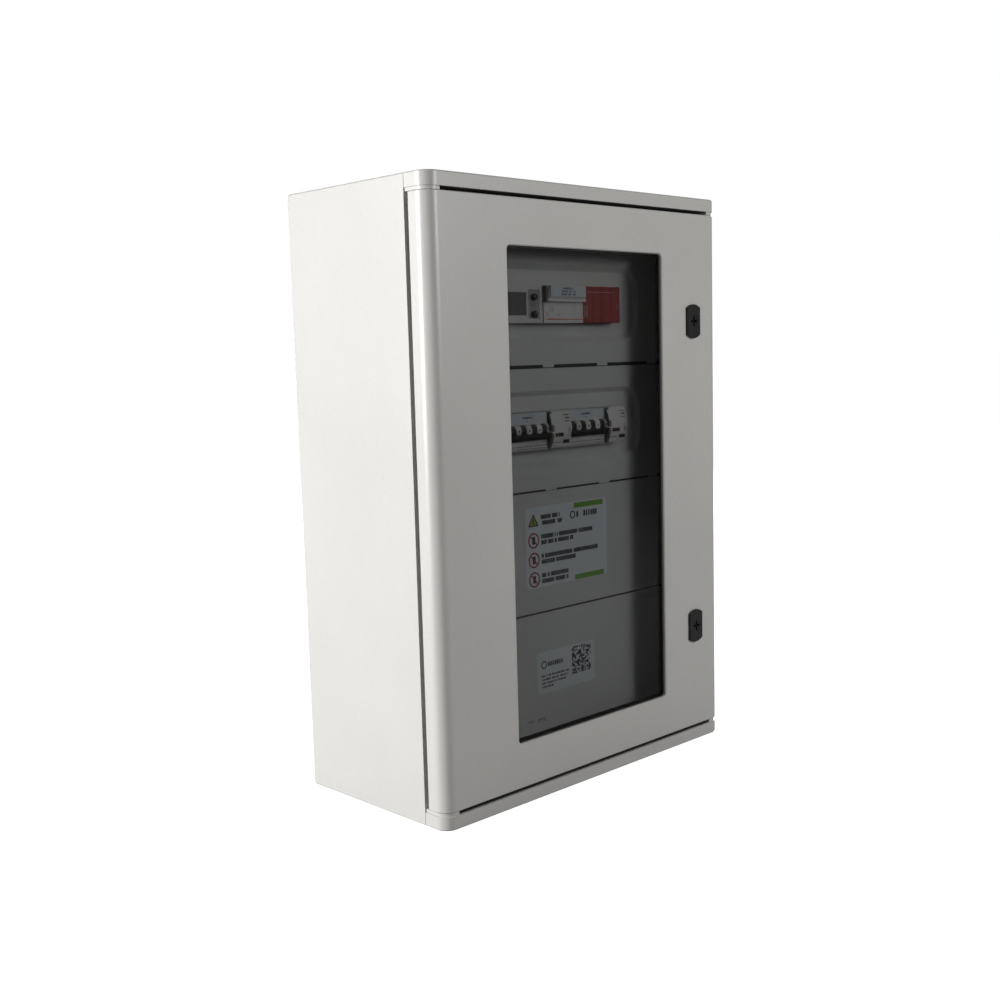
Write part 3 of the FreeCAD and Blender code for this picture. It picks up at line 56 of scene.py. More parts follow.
# ------------------------------------------------------------------ cabinet body and rim corners
# Deep tray of hot-pressed glass-reinforced polyester, coloured light grey right through. The press
# leaves a faint orange-peel skin and soft clouding. Small moulded blocks close the rims' ends.
def shader_group(name, inputs, outputs):
    """Empty shader group: inputs are (name, socket type, first value), outputs (name, type)."""
    tree = bpy.data.node_groups.new(name, "ShaderNodeTree")
    for label, kind, value in inputs:
        tree.interface.new_socket(name=label, in_out="INPUT", socket_type=kind).default_value = value
    for label, kind in outputs:
        tree.interface.new_socket(name=label, in_out="OUTPUT", socket_type=kind)
    return tree, tree.nodes.new("NodeGroupInput"), tree.nodes.new("NodeGroupOutput")


FLOAT = "NodeSocketFloat"
VECTOR = "NodeSocketVector"
TIMES = {"operation": "MULTIPLY"}


def new_node(tree, kind, settings=None, **links):
    """Node whose named inputs are set to values or linked to sockets. _0, _1 name inputs by place."""
    node = tree.nodes.new(kind)
    for label, value in (settings or {}).items():
        setattr(node, label, value)
    for label, value in links.items():
        socket = node.inputs[int(label[1:])] if label[1:].isdigit() else node.inputs[label.replace("_", " ")]
        if isinstance(value, bpy.types.NodeSocket):
            tree.links.new(value, socket)
        else:
            socket.default_value = value
    return node


def moulded_skin():
    """Fine grain and slow clouding, as a mould leaves them on plastic."""
    tree, source, sink = shader_group(
        "moulded_skin", [("Grain Scale", FLOAT, 900.0), ("Cloud Scale", FLOAT, 9.0)],
        [("Grain", FLOAT), ("Clouds", FLOAT)])
    place = new_node(tree, "ShaderNodeTexCoord").outputs["Object"]
    for scale, detail, result in (("Grain Scale", 1.5, "Grain"), ("Cloud Scale", 4.0, "Clouds")):
        noise = new_node(tree, "ShaderNodeTexNoise", Vector=place, Scale=source.outputs[scale], Detail=detail)
        spread = new_node(tree, "ShaderNodeMapRange", Value=noise.outputs["Fac"], From_Min=0.3, From_Max=0.7)
        tree.links.new(spread.outputs["Result"], sink.inputs[result])
    return tree


def settled_dust():
    """Thin dust that lies in patches on faces that look up."""
    tree, source, sink = shader_group(
        "settled_dust", [("Amount", FLOAT, 0.3), ("Patch Scale", FLOAT, 30.0)], [("Dust", FLOAT)])
    place = new_node(tree, "ShaderNodeTexCoord").outputs["Object"]
    patch_scale = source.outputs["Patch Scale"]
    noise = new_node(tree, "ShaderNodeTexNoise", Vector=place, Scale=patch_scale, Detail=6.0)
    facing = new_node(tree, "ShaderNodeNewGeometry").outputs["Normal"]
    split = new_node(tree, "ShaderNodeSeparateXYZ", Vector=facing)
    upward = new_node(tree, "ShaderNodeMapRange", Value=split.outputs["Z"], From_Min=0.5, From_Max=0.95)
    patches = new_node(tree, "ShaderNodeMath", TIMES, _0=upward.outputs["Result"], _1=noise.outputs["Fac"])
    amount = new_node(tree, "ShaderNodeMath", TIMES, _0=patches.outputs["Value"], _1=source.outputs["Amount"])
    tree.links.new(amount.outputs["Value"], sink.inputs["Dust"])
    return tree


SKIN = moulded_skin()
DUST = settled_dust()
DUST_COLOUR = (0.52, 0.49, 0.44)


def rgba(colour):
    """Colour with full cover."""
    return (*colour, 1.0)


def placed_group(tree, group, **values):
    """A shader group as a node, with its inputs set by name."""
    return new_node(tree, "ShaderNodeGroup", {"node_tree": group}, **values)


def new_finish(name):
    """Material with its node tree and its shader."""
    material = bpy.data.materials.new(name)
    material.use_nodes = True
    return material, material.node_tree, material.node_tree.nodes["Principled BSDF"]


def blend_colour(tree, low, high, factor):
    """Colour mixed between two by a value. low and high are colours or sockets."""
    mix = tree.nodes.new("ShaderNodeMix")
    mix.data_type = "RGBA"
    for label, value in (("A_Color", low), ("B_Color", high)):
        socket = next(s for s in mix.inputs if s.identifier == label)
        if isinstance(value, tuple):
            socket.default_value = rgba(value)
        else:
            tree.links.new(value, socket)
    tree.links.new(factor, next(s for s in mix.inputs if s.identifier == "Factor_Float"))
    return next(s for s in mix.outputs if s.identifier == "Result_Color")


def spread_value(tree, value, low, high):
    """A value from 0 to 1 spread between low and high."""
    return new_node(tree, "ShaderNodeMapRange", Value=value, To_Min=low, To_Max=high).outputs["Result"]


def raised_grain(tree, shader, height, depth):
    """Bump of this depth in metres."""
    bump = new_node(tree, "ShaderNodeBump", Height=height, Distance=depth)
    tree.links.new(bump.outputs["Normal"], shader.inputs["Normal"])


def moulded(name, colour, shade, rough, grain=1100.0, depth=0.00002, clouds=9.0, dust=0.0, **plain):
    """Moulded plastic: colour clouding to shade, roughness between two values, fine grain."""
    material, tree, shader = new_finish(name)
    skin = placed_group(tree, SKIN, Grain_Scale=grain, Cloud_Scale=clouds)
    base = blend_colour(tree, shade, colour, skin.outputs["Clouds"])
    if dust:
        layer = placed_group(tree, DUST, Amount=dust)
        base = blend_colour(tree, base, DUST_COLOUR, layer.outputs["Dust"])
    tree.links.new(base, shader.inputs["Base Color"])
    tree.links.new(spread_value(tree, skin.outputs["Grain"], *rough), shader.inputs["Roughness"])
    raised_grain(tree, shader, skin.outputs["Grain"], depth)
    for label, value in plain.items():
        shader.inputs[label.replace("_", " ")].default_value = value
    return material


def finish(material, *names):
    """Gives whole CAD pieces a finish."""
    for name in names:
        piece = nodes[name]
        if not piece.material_slots:
            piece.data.materials.append(material)
        for holder in piece.material_slots:
            holder.link = "OBJECT"
            holder.material = material


polyester = moulded("pressed_polyester", (0.640, 0.632, 0.610), (0.600, 0.594, 0.575), (0.26, 0.36),
                    grain=750.0, depth=0.000018, clouds=5.0, dust=0.35)
finish(polyester, "enclosure_body", "rim_corner_blocks")


# ------------------------------------------------------------------ hinge bushes
# White nylon bushes pressed into the rims. They are turned smooth and stay slightly waxy, and the
# door's steel pins run in them.
nylon = moulded("turned_nylon", (0.80, 0.79, 0.75), (0.72, 0.71, 0.67), (0.32, 0.42), grain=1500.0)
finish(nylon, "hinge_bushes")


# ------------------------------------------------------------------ lock keepers
# Bent steel angles on the sealing lip, bright zinc plated. The plating has a fine spangle and
# rolling streaks that run up and down.
UP_AND_DOWN = (400.0, 400.0, 6.0)              # streaks are long where this is small
SIDEWAYS = (6.0, 400.0, 400.0)


def rolled_metal():
    """Spangle of a zinc coat, and long streaks along one direction of the sheet."""
    tree, source, sink = shader_group(
        "rolled_metal", [("Spangle Scale", FLOAT, 260.0), ("Stretch", VECTOR, UP_AND_DOWN)],
        [("Spangle", FLOAT), ("Streaks", FLOAT)])
    place = new_node(tree, "ShaderNodeTexCoord").outputs["Object"]
    cells = new_node(tree, "ShaderNodeTexVoronoi", Vector=place, Scale=source.outputs["Spangle Scale"])
    tone = new_node(tree, "ShaderNodeSeparateColor", Color=cells.outputs["Color"])
    stretch = new_node(tree, "ShaderNodeVectorMath", TIMES, _0=place, _1=source.outputs["Stretch"])
    streaks = new_node(tree, "ShaderNodeTexNoise", Vector=stretch.outputs["Vector"], Scale=1.0, Detail=3.0)
    tree.links.new(tone.outputs["Red"], sink.inputs["Spangle"])
    tree.links.new(streaks.outputs["Fac"], sink.inputs["Streaks"])
    return tree


ROLLED = rolled_metal()


def plated(name, bright, dull, rough, spangle=260.0, stretch=UP_AND_DOWN, depth=0.00001):
    """Plated or bare metal with spangle in its colour and streaks in its roughness."""
    material, tree, shader = new_finish(name)
    shader.inputs["Metallic"].default_value = 1.0
    sheet = placed_group(tree, ROLLED, Spangle_Scale=spangle, Stretch=stretch)
    tree.links.new(blend_colour(tree, dull, bright, sheet.outputs["Spangle"]), shader.inputs["Base Color"])
    tree.links.new(spread_value(tree, sheet.outputs["Streaks"], *rough), shader.inputs["Roughness"])
    raised_grain(tree, shader, sheet.outputs["Streaks"], depth)
    return material


bright_zinc = plated("bright_zinc", (0.66, 0.67, 0.68), (0.54, 0.55, 0.57), (0.24, 0.44))
finish(bright_zinc, "lock_keepers", "keeper_screws")


# ------------------------------------------------------------------ mounting frame
# Rolled steel channels, turned spacers and sheet-steel cover carriers, all zinc plated and screwed
# together. The top-hat rails carry a yellowish passivation and streaks along their length.
passivated = plated("passivated_zinc", (0.66, 0.64, 0.56), (0.52, 0.52, 0.46), (0.28, 0.50), stretch=SIDEWAYS)
finish(bright_zinc, "mounting_uprights", "upright_spacers", "upright_screws", "din_rail_screws",
       "cover_carriers", "carrier_screws")
finish(passivated, "din_rails")


# ------------------------------------------------------------------ terminals and earth bar
# Grey polyamide feed-through terminals clipped on the third rail, and an extruded brass bar on
# white feet with a plated screw at every hole.
polyamide = moulded("terminal_polyamide", (0.30, 0.31, 0.31), (0.25, 0.26, 0.26), (0.42, 0.56))
brass = plated("extruded_brass", (0.72, 0.56, 0.26), (0.58, 0.44, 0.20), (0.24, 0.42), spangle=90.0,
               stretch=SIDEWAYS)
finish(polyamide, "terminal_blocks", "terminal_end_stops")
finish(brass, "earth_bar")
finish(nylon, "earth_bar_supports")
finish(bright_zinc, "earth_bar_screws")


# ------------------------------------------------------------------ monitoring relay
# Four-module relay in light grey polycarbonate: display behind a dark window, and a sunk dial plate
# with two setting knobs. Scales, captions and the status lamp are printed or set into its face.
MM = 0.001
INK_T = 0.05 * MM            # thickness of printed ink


def new_piece(name, mesh, body, slot, material=None):
    """Object for a mesh, riding on a body, with the given material if any; slot is not used."""
    piece = bpy.data.objects.new(name, mesh)
    bpy.context.scene.collection.objects.link(piece)
    if material:
        mesh.materials.clear()
        mesh.materials.append(material)
    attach(piece, body)
    return piece


def closed(shape, name):
    """Mesh from a bmesh, doubles merged and faces turned outwards."""
    bmesh.ops.remove_doubles(shape, verts=shape.verts, dist=1e-7)
    bmesh.ops.recalc_face_normals(shape, faces=shape.faces)
    mesh = bpy.data.meshes.new(name)
    shape.to_mesh(mesh)
    shape.free()
    return mesh


def joined(name, meshes):
    """One mesh from several."""
    shape = bmesh.new()
    for mesh in meshes:
        shape.from_mesh(mesh)
    whole = bpy.data.meshes.new(name)
    shape.to_mesh(whole)
    shape.free()
    return whole


def inked(name, slot, ink, meshes, body="cabinet"):
    """Piece made of several small meshes in one ink or plastic."""
    return new_piece(name, joined(name, meshes), body, slot, ink)


def moved(mesh, x, y, z):
    """The mesh shifted by x, y and z in mm."""
    mesh.transform(Matrix.Translation((x * MM, y * MM, z * MM)))
    return mesh


def outline_plate(points, y_front, thickness):
    """Plate square to Y from (x, z) points in mm; y_front in mm, thickness in metres."""
    shape = bmesh.new()
    front = [shape.verts.new((x * MM, y_front * MM, z * MM)) for x, z in points]
    back = [shape.verts.new((x * MM, y_front * MM + thickness, z * MM)) for x, z in points]
    shape.faces.new(front)
    shape.faces.new(back[::-1])
    for index, corner in enumerate(front):
        after = (index + 1) % len(front)
        shape.faces.new((corner, back[index], back[after], front[after]))
    return closed(shape, "plate")


def bar(x0, x1, z0, z1, y_front, thickness=INK_T):
    """Flat bar; sides in mm, thickness in metres."""
    return outline_plate([(x0, z0), (x1, z0), (x1, z1), (x0, z1)], y_front, thickness)


def arc_points(x, z, radius, start, end, steps):
    """Points on an arc round (x, z), angles in degrees from +X towards +Z."""
    turns = [radians(start + (end - start) * step / steps) for step in range(steps + 1)]
    return [(x + radius * cos(turn), z + radius * sin(turn)) for turn in turns]


def disc(x, z, radius, y_front, thickness=INK_T, steps=20):
    """Flat round; sizes in mm, thickness in metres."""
    return outline_plate(arc_points(x, z, radius, 0, 360, steps)[:-1], y_front, thickness)


def arc_band(x, z, inner, outer, start, end, y_front, thickness=INK_T, steps=24):
    """Part of a flat ring."""
    outline = arc_points(x, z, outer, start, end, steps) + arc_points(x, z, inner, end, start, steps)
    return outline_plate(outline, y_front, thickness)


WHOLE = "NodeSocketInt"
MATERIAL = "NodeSocketMaterial"


def geometry_tree(name, inputs):
    """Geometry tree with named inputs, a function that adds a linked node, and one for sums."""
    tree = bpy.data.node_groups.new(name, "GeometryNodeTree")
    for label, kind in inputs:
        tree.interface.new_socket(name=label, in_out="INPUT", socket_type=kind)
    tree.interface.new_socket(name="Geometry", in_out="OUTPUT", socket_type="NodeSocketGeometry")
    source = tree.nodes.new("NodeGroupInput")
    sink = tree.nodes.new("NodeGroupOutput")

    def worked_out(operation, *terms):
        """Socket with one sum of the terms."""
        places = {"_%d" % k: term for k, term in enumerate(terms)}
        return new_node(tree, "ShaderNodeMath", {"operation": operation}, **places).outputs[0]

    return tree, source.outputs, sink, partial(new_node, tree), worked_out


def grid_points(add, worked_out, across, total, x_pitch, z_pitch):
    """Points in rows along X, each row a pitch above the one before."""
    places = add("GeometryNodePoints", Count=total)
    index = add("GeometryNodeInputIndex").outputs[0]
    column = worked_out("MODULO", index, across)
    row = worked_out("FLOOR", worked_out("DIVIDE", index, across))
    spot = add("ShaderNodeCombineXYZ", X=worked_out("MULTIPLY", column, x_pitch),
               Z=worked_out("MULTIPLY", row, z_pitch))
    return add("GeometryNodeSetPosition", Geometry=places.outputs[0], Position=spot.outputs[0]).outputs[0]


def close_tree(tree, sink, add, geometry, ink):
    """Ends a tree as every tree here ends: real mesh, then its material."""
    real = add("GeometryNodeRealizeInstances", Geometry=geometry)
    inked = add("GeometryNodeSetMaterial", Geometry=real.outputs["Geometry"], Material=ink)
    tree.links.new(inked.outputs["Geometry"], sink.inputs["Geometry"])


def lettering():
    """Rows of small blocks of uneven width with gaps between words, like unreadable print."""
    tree, given, sink, add, worked_out = geometry_tree("lettering", [
        ("Letters", WHOLE), ("Lines", WHOLE), ("Letter Pitch", FLOAT), ("Letter Height", FLOAT),
        ("Line Pitch", FLOAT), ("Thickness", FLOAT), ("Gap Share", FLOAT), ("Narrowest", FLOAT),
        ("Seed", WHOLE), ("Ink", MATERIAL)])
    total = worked_out("MULTIPLY", given["Letters"], given["Lines"])
    below = worked_out("MULTIPLY", given["Line Pitch"], -1.0)
    set_out = grid_points(add, worked_out, given["Letters"], total, given["Letter Pitch"], below)
    gap = add("FunctionNodeRandomValue", {"data_type": "BOOLEAN"}, Probability=given["Gap Share"],
              Seed=given["Seed"])
    words = add("GeometryNodeDeleteGeometry", Geometry=set_out, Selection=gap.outputs[3])
    block = add("GeometryNodeMeshCube")
    uneven = add("FunctionNodeRandomValue", {"data_type": "FLOAT"}, _2=given["Narrowest"], _3=0.92,
                 Seed=given["Seed"])
    width = worked_out("MULTIPLY", uneven.outputs[1], given["Letter Pitch"])
    size = add("ShaderNodeCombineXYZ", X=width, Y=given["Thickness"], Z=given["Letter Height"])
    print_out = add("GeometryNodeInstanceOnPoints", Points=words.outputs[0], Instance=block.outputs[0],
                    Scale=size.outputs[0])
    close_tree(tree, sink, add, print_out.outputs[0], given["Ink"])
    return tree


def scale_ticks():
    """Short radial strokes round a knob, over part of a turn."""
    tree, given, sink, add, worked_out = geometry_tree("scale_ticks", [
        ("Count", WHOLE), ("Radius", FLOAT), ("Length", FLOAT), ("Width", FLOAT), ("Thickness", FLOAT),
        ("First Angle", FLOAT), ("Step", FLOAT), ("Ink", MATERIAL)])
    places = add("GeometryNodePoints", Count=given["Count"])
    index = add("GeometryNodeInputIndex").outputs[0]
    turn = worked_out("ADD", worked_out("MULTIPLY", index, given["Step"]), given["First Angle"])
    spot = add("ShaderNodeCombineXYZ", X=worked_out("MULTIPLY", worked_out("COSINE", turn), given["Radius"]),
               Z=worked_out("MULTIPLY", worked_out("SINE", turn), given["Radius"]))
    set_out = add("GeometryNodeSetPosition", Geometry=places.outputs[0], Position=spot.outputs[0])
    lean = add("ShaderNodeCombineXYZ", Y=worked_out("MULTIPLY", turn, -1.0))
    size = add("ShaderNodeCombineXYZ", X=given["Length"], Y=given["Thickness"], Z=given["Width"])
    stroke = add("GeometryNodeMeshCube")
    strokes = add("GeometryNodeInstanceOnPoints", Points=set_out.outputs[0], Instance=stroke.outputs[0],
                  Rotation=lean.outputs[0], Scale=size.outputs[0])
    close_tree(tree, sink, add, strokes.outputs[0], given["Ink"])
    return tree


def rib_row():
    """Equal bars in a row, for grips, vents and pole marks."""
    tree, given, sink, add, _ = geometry_tree("rib_row", [
        ("Count", WHOLE), ("Pitch", VECTOR), ("Size", VECTOR), ("Ink", MATERIAL)])
    line = add("GeometryNodeMeshLine", Count=given["Count"], Offset=given["Pitch"])
    rib = add("GeometryNodeMeshCube")
    placed = add("GeometryNodeInstanceOnPoints", Points=line.outputs[0], Instance=rib.outputs[0],
                 Scale=given["Size"])
    close_tree(tree, sink, add, placed.outputs[0], given["Ink"])
    return tree


LETTERING = lettering()
TICKS = scale_ticks()
RIBS = rib_row()


def grown(tree, **sizes):
    """Plain mesh that a geometry tree makes with these inputs."""
    holder = bpy.data.objects.new("holder", bpy.data.meshes.new("holder"))
    bpy.context.scene.collection.objects.link(holder)
    maker = holder.modifiers.new("maker", "NODES")
    maker.node_group = tree
    sockets = {item.name.replace(" ", "_"): item.identifier for item in tree.interface.items_tree
               if item.in_out == "INPUT"}
    for label, value in sizes.items():
        maker[sockets[label]] = value
    holder.update_tag()
    settled = holder.evaluated_get(bpy.context.evaluated_depsgraph_get())
    mesh = bpy.data.meshes.new_from_object(settled)
    bpy.data.objects.remove(holder)
    return mesh


def printed(ink, x, z, y, letters, lines=1, pitch=1.3, height=1.6, line_pitch=3.0, seed=1, gaps=0.14,
            narrowest=0.55):
    """Lettering whose first line starts at x, with its middle at z; sizes in mm."""
    mesh = grown(LETTERING, Letters=letters, Lines=lines, Letter_Pitch=pitch * MM, Letter_Height=height * MM,
                 Line_Pitch=line_pitch * MM, Thickness=INK_T, Gap_Share=gaps, Narrowest=narrowest, Seed=seed,
                 Ink=ink)
    return moved(mesh, x + pitch / 2, y, z)


def ribs(material, x, y, z, count, pitch, size):
    """Row of ribs from (x, y, z) in mm; pitch and size are (x, y, z) in mm."""
    mesh = grown(RIBS, Count=count, Pitch=tuple(v * MM for v in pitch), Size=tuple(v * MM for v in size),
                 Ink=material)
    return moved(mesh, x, y, z)


def lamp(name, colour, glow):
    """Small lit indicator whose glow varies a little at random."""
    material = moulded(name, colour, tuple(0.7 * c for c in colour), (0.2, 0.3))
    shader = material.node_tree.nodes["Principled BSDF"]
    tree = material.node_tree
    skin = placed_group(tree, SKIN, Grain_Scale=600.0, Cloud_Scale=300.0)
    tree.links.new(blend_colour(tree, tuple(0.75 * c for c in colour), colour, skin.outputs["Clouds"]),
                   shader.inputs["Emission Color"])
    shader.inputs["Emission Strength"].default_value = glow
    return material


def in_mm(name):
    """Lowest and highest corners of a CAD piece, in mm."""
    low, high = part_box(name)
    return Vector(low) / MM, Vector(high) / MM


relay_grey = moulded("relay_polycarbonate", (0.62, 0.63, 0.62), (0.56, 0.57, 0.56), (0.34, 0.46),
                     grain=1600.0, depth=0.000012)
dark_window = moulded("tinted_window", (0.060, 0.062, 0.062), (0.045, 0.047, 0.047), (0.10, 0.18),
                      grain=500.0, depth=0.000003)
black_plastic = moulded("black_polyamide", (0.022, 0.022, 0.023), (0.014, 0.014, 0.015), (0.34, 0.48),
                        grain=1500.0, depth=0.000015)
dark_ink = moulded("dark_ink", (0.055, 0.055, 0.058), (0.10, 0.10, 0.10), (0.42, 0.55), clouds=900.0)
grey_ink = moulded("grey_ink", (0.20, 0.20, 0.20), (0.28, 0.28, 0.28), (0.42, 0.55), clouds=900.0)
pale_ink = moulded("pale_ink", (0.74, 0.66, 0.60), (0.58, 0.46, 0.42), (0.42, 0.55), clouds=900.0)
green_lamp = lamp("green_lamp", (0.16, 0.62, 0.03), 0.9)
finish(relay_grey, "relay_housing")
display_grey = moulded("grey_display", (0.150, 0.152, 0.150), (0.135, 0.137, 0.135), (0.16, 0.26),
                       grain=700.0, depth=0.000004)
finish(display_grey, "relay_display")
finish(black_plastic, "relay_knob_upper", "relay_knob_lower")

relay_low, relay_high = in_mm("relay_housing")
display_low, display_high = in_mm("relay_display")
display_mid = (display_low + display_high) / 2
knobs = [in_mm(name) for name in ("relay_knob_upper", "relay_knob_lower")]
KNOB_X = (knobs[0][0].x + knobs[0][1].x) / 2
KNOB_ZS = [(low.z + high.z) / 2 for low, high in knobs]
KNOB_FACE = knobs[0][0].y
ROW_1_Z = (relay_low.z + relay_high.z) / 2     # middle of the first row
NOSE_FACE = relay_low.y                        # front of the devices' noses
NOSE_INK = NOSE_FACE - 0.05
DIAL_FACE = NOSE_FACE + 1.0                    # floor of the sunk dial plate
DIAL_INK = DIAL_FACE - 0.06
DIAL_HALF_W = 8.5
DIAL_HALF_H = 17.0
GROOVE_SHADE_W = 0.7                              # dark lines that paint the shade along the sunk dial plate's sides
plate_grey = moulded("dial_plate", (0.36, 0.365, 0.36), (0.32, 0.325, 0.32), (0.40, 0.52), grain=1400.0)

dial_print = [moved(grown(TICKS, Count=11, Radius=5.8 * MM, Length=1.1 * MM, Width=0.4 * MM, Thickness=INK_T,
                          First_Angle=radians(-60), Step=radians(30), Ink=dark_ink), KNOB_X, DIAL_INK, z)
              for z in KNOB_ZS]
dial_print += [printed(dark_ink, KNOB_X - 6.5, KNOB_ZS[0] + 7.9, DIAL_INK, 10, pitch=1.25, height=1.3,
                       seed=4),
               printed(dark_ink, KNOB_X - 5.5, KNOB_ZS[0] - 8.0, DIAL_INK, 8, lines=2, pitch=1.2, height=0.9,
                       line_pitch=2.0, seed=9)]
inked("relay_dial_print", "device_grey", dark_ink, dial_print)
new_piece("relay_status_lamp", disc(display_mid.x + 0.5, display_mid.z - 0.4, 0.5, display_low.y - 0.25,
                                    0.25 * MM), "cabinet", "dark_window", green_lamp)
# A dark bar behind the nose paints the shade in the gap along the relay's right edge.
new_piece("relay_edge_line", bar(relay_high.x - 0.9, relay_high.x - 0.1, ROW_1_Z - 22.0, ROW_1_Z + 22.0,
                                 NOSE_FACE + 1.2), "cabinet", "device_grey", dark_ink)
# Two dark lines paint the shade along the sides of the sunk dial plate.
inked("relay_dial_edges", "device_grey", dark_ink, [
    bar(x - GROOVE_SHADE_W / 2, x + GROOVE_SHADE_W / 2, ROW_1_Z - DIAL_HALF_H, ROW_1_Z + DIAL_HALF_H, DIAL_FACE)
    for x in (KNOB_X - DIAL_HALF_W - 0.5, KNOB_X + DIAL_HALF_W + 0.5)])
new_piece("relay_dial_plate", bar(KNOB_X - DIAL_HALF_W, KNOB_X + DIAL_HALF_W, ROW_1_Z - DIAL_HALF_H,
                                  ROW_1_Z + DIAL_HALF_H, DIAL_FACE - 0.01), "cabinet", "device_grey",
          plate_grey)


def pointer(x, z, lean):
    """White pointer stroke on a knob's face, leaning from upright by an angle in degrees."""
    stroke = bar(-0.35, 0.35, 0.6, 3.3, 0.0)
    stroke.transform(Matrix.Rotation(radians(lean), 4, "Y"))
    return moved(stroke, x, KNOB_FACE - 0.03, z)


white_ink = moulded("white_ink", (0.80, 0.80, 0.78), (0.70, 0.70, 0.68), (0.42, 0.55), clouds=900.0)
for name, body, z, lean in (("relay_upper_pointer", "relay_knob_a", KNOB_ZS[0], -35.0),
                            ("relay_lower_pointer", "relay_knob_b", KNOB_ZS[1], 20.0)):
    new_piece(name, pointer(KNOB_X, z, lean), body, "black_plastic", white_ink)


SEAL_Z = KNOB_ZS[1] - 6.9                      # sealing screw under the lower knob
SEAL_R = 1.5
SEAL_PROUD = 0.9


def domed_head(x, z, y_front, radius, proud):
    """Domed screw head, sizes in mm."""
    shape = bmesh.new()
    steps = 20
    rings = []
    for reach, rise in ((1.0, 0.0), (1.0, 0.35), (0.93, 0.65), (0.76, 0.88), (0.5, 1.0)):
        around = arc_points(x, z, radius * reach, 0, 360, steps)[:-1]
        y = y_front + proud * (1 - rise)
        rings.append([shape.verts.new((a * MM, y * MM, b * MM)) for a, b in around])
    for lower, upper in zip(rings, rings[1:]):
        for k in range(steps):
            after = (k + 1) % steps
            shape.faces.new((lower[k], lower[after], upper[after], upper[k]))
    shape.faces.new(rings[-1])
    shape.faces.new(rings[0][::-1])
    return closed(shape, "head")


new_piece("relay_seal_screw", domed_head(KNOB_X, SEAL_Z, DIAL_FACE - SEAL_PROUD, SEAL_R, SEAL_PROUD),
          "cabinet", "zinc_steel", bright_zinc)
# A dark bar paints the shade in the screw head's slot.
new_piece("relay_seal_screw_slot", bar(KNOB_X - 1.2, KNOB_X + 1.2, SEAL_Z - 0.2, SEAL_Z + 0.2,
                                       DIAL_FACE - SEAL_PROUD - 0.03), "cabinet", "zinc_steel", dark_ink)


# ------------------------------------------------------------------ fuse base
# Four-pole fuse base in white glass-filled polyamide, with ceramic fuses behind a common lever. An
# adhesive caption strip lies on the lever, and pole lines and ratings are printed on the lower face.
device_white = moulded("device_polyamide", (0.68, 0.69, 0.68), (0.62, 0.63, 0.62), (0.36, 0.50), grain=1500.0,
                       depth=0.000014)
# Dark grey that paints the shade at the fuse base's left end and on the residual-current blocks' left flanks.
side_shade_grey = moulded("flank_polyamide", (0.17, 0.17, 0.17), (0.13, 0.13, 0.13), (0.40, 0.52), grain=1300.0,
                     depth=0.000018)
ceramic = moulded("glazed_ceramic", (0.82, 0.81, 0.78), (0.76, 0.75, 0.72), (0.16, 0.26), grain=400.0,
                  depth=0.000006)
caption_strip = moulded("caption_strip", (0.60, 0.66, 0.70), (0.55, 0.61, 0.65), (0.40, 0.52), clouds=60.0)
red_ink = moulded("red_ink", (0.60, 0.03, 0.02), (0.66, 0.24, 0.12), (0.42, 0.55), clouds=300.0)
finish(device_white, "fuse_base", "fuse_lever")
finish(ceramic, "fuse_cartridges")

fuse_low, fuse_high = in_mm("fuse_base")
lever_low, lever_high = in_mm("fuse_lever")
CHEEK_X1 = fuse_low.x + 1.6                    # the base's cheek beside the lever
CHEEK_PROUD = 5.4                              # the cheek stands this far in front of the nose
CHEEK_ARC_R = 16.8
LEVER_AXIS_Y = NOSE_FACE - 2.0
LEVER_AXIS_Z = ROW_1_Z + 4.7
STRIP_X0 = fuse_low.x + 6.4                    # strip starts past the painted shade at the lever's left end
STRIP_X1 = fuse_high.x - 2.2
STRIP_T = 0.12
LEVER_INK = lever_low.y - 0.06
STRIP_FACE = lever_low.y - STRIP_T
FUSE_FOOT = ROW_1_Z - 22.2                     # lower end of the nose


def cheek_side(x, axis_y, axis_z, radius, front_y, back_y, low_z):
    """Thin plate square to X that follows a cheek's rounded outline; sizes in mm."""
    drop = (radius ** 2 - (front_y - axis_y) ** 2) ** 0.5
    rows = [(front_y, low_z), (back_y, low_z), (back_y, axis_z + radius), (front_y, axis_z + drop)]
    shape = bmesh.new()
    outer = [shape.verts.new(((x - 0.12) * MM, y * MM, z * MM)) for y, z in rows]
    inner = [shape.verts.new((x * MM, y * MM, z * MM)) for y, z in rows]
    shape.faces.new(outer)
    shape.faces.new(inner[::-1])
    for k in range(4):
        after = (k + 1) % 4
        shape.faces.new((outer[k], inner[k], inner[after], outer[after]))
    return closed(shape, "side")


# Dark plates paint the shade on the base's cheek, on its side and its front, and on the lever's left end.
inked("fuse_base_end_cap", "device_grey", side_shade_grey, [
    cheek_side(fuse_low.x - 0.02, LEVER_AXIS_Y, LEVER_AXIS_Z, CHEEK_ARC_R, NOSE_FACE - CHEEK_PROUD,
               NOSE_FACE - 0.2, lever_low.z),
    bar(fuse_low.x, CHEEK_X1, lever_low.z + 0.4, lever_high.z - 1.6, NOSE_FACE - CHEEK_PROUD - 0.16)])
new_piece("fuse_lever_end_cap", bar(lever_low.x + 2.3, STRIP_X0 - 0.4, lever_low.z + 4.0, lever_high.z - 0.6,
                                    LEVER_INK), "fuse_lever", "device_grey", side_shade_grey)
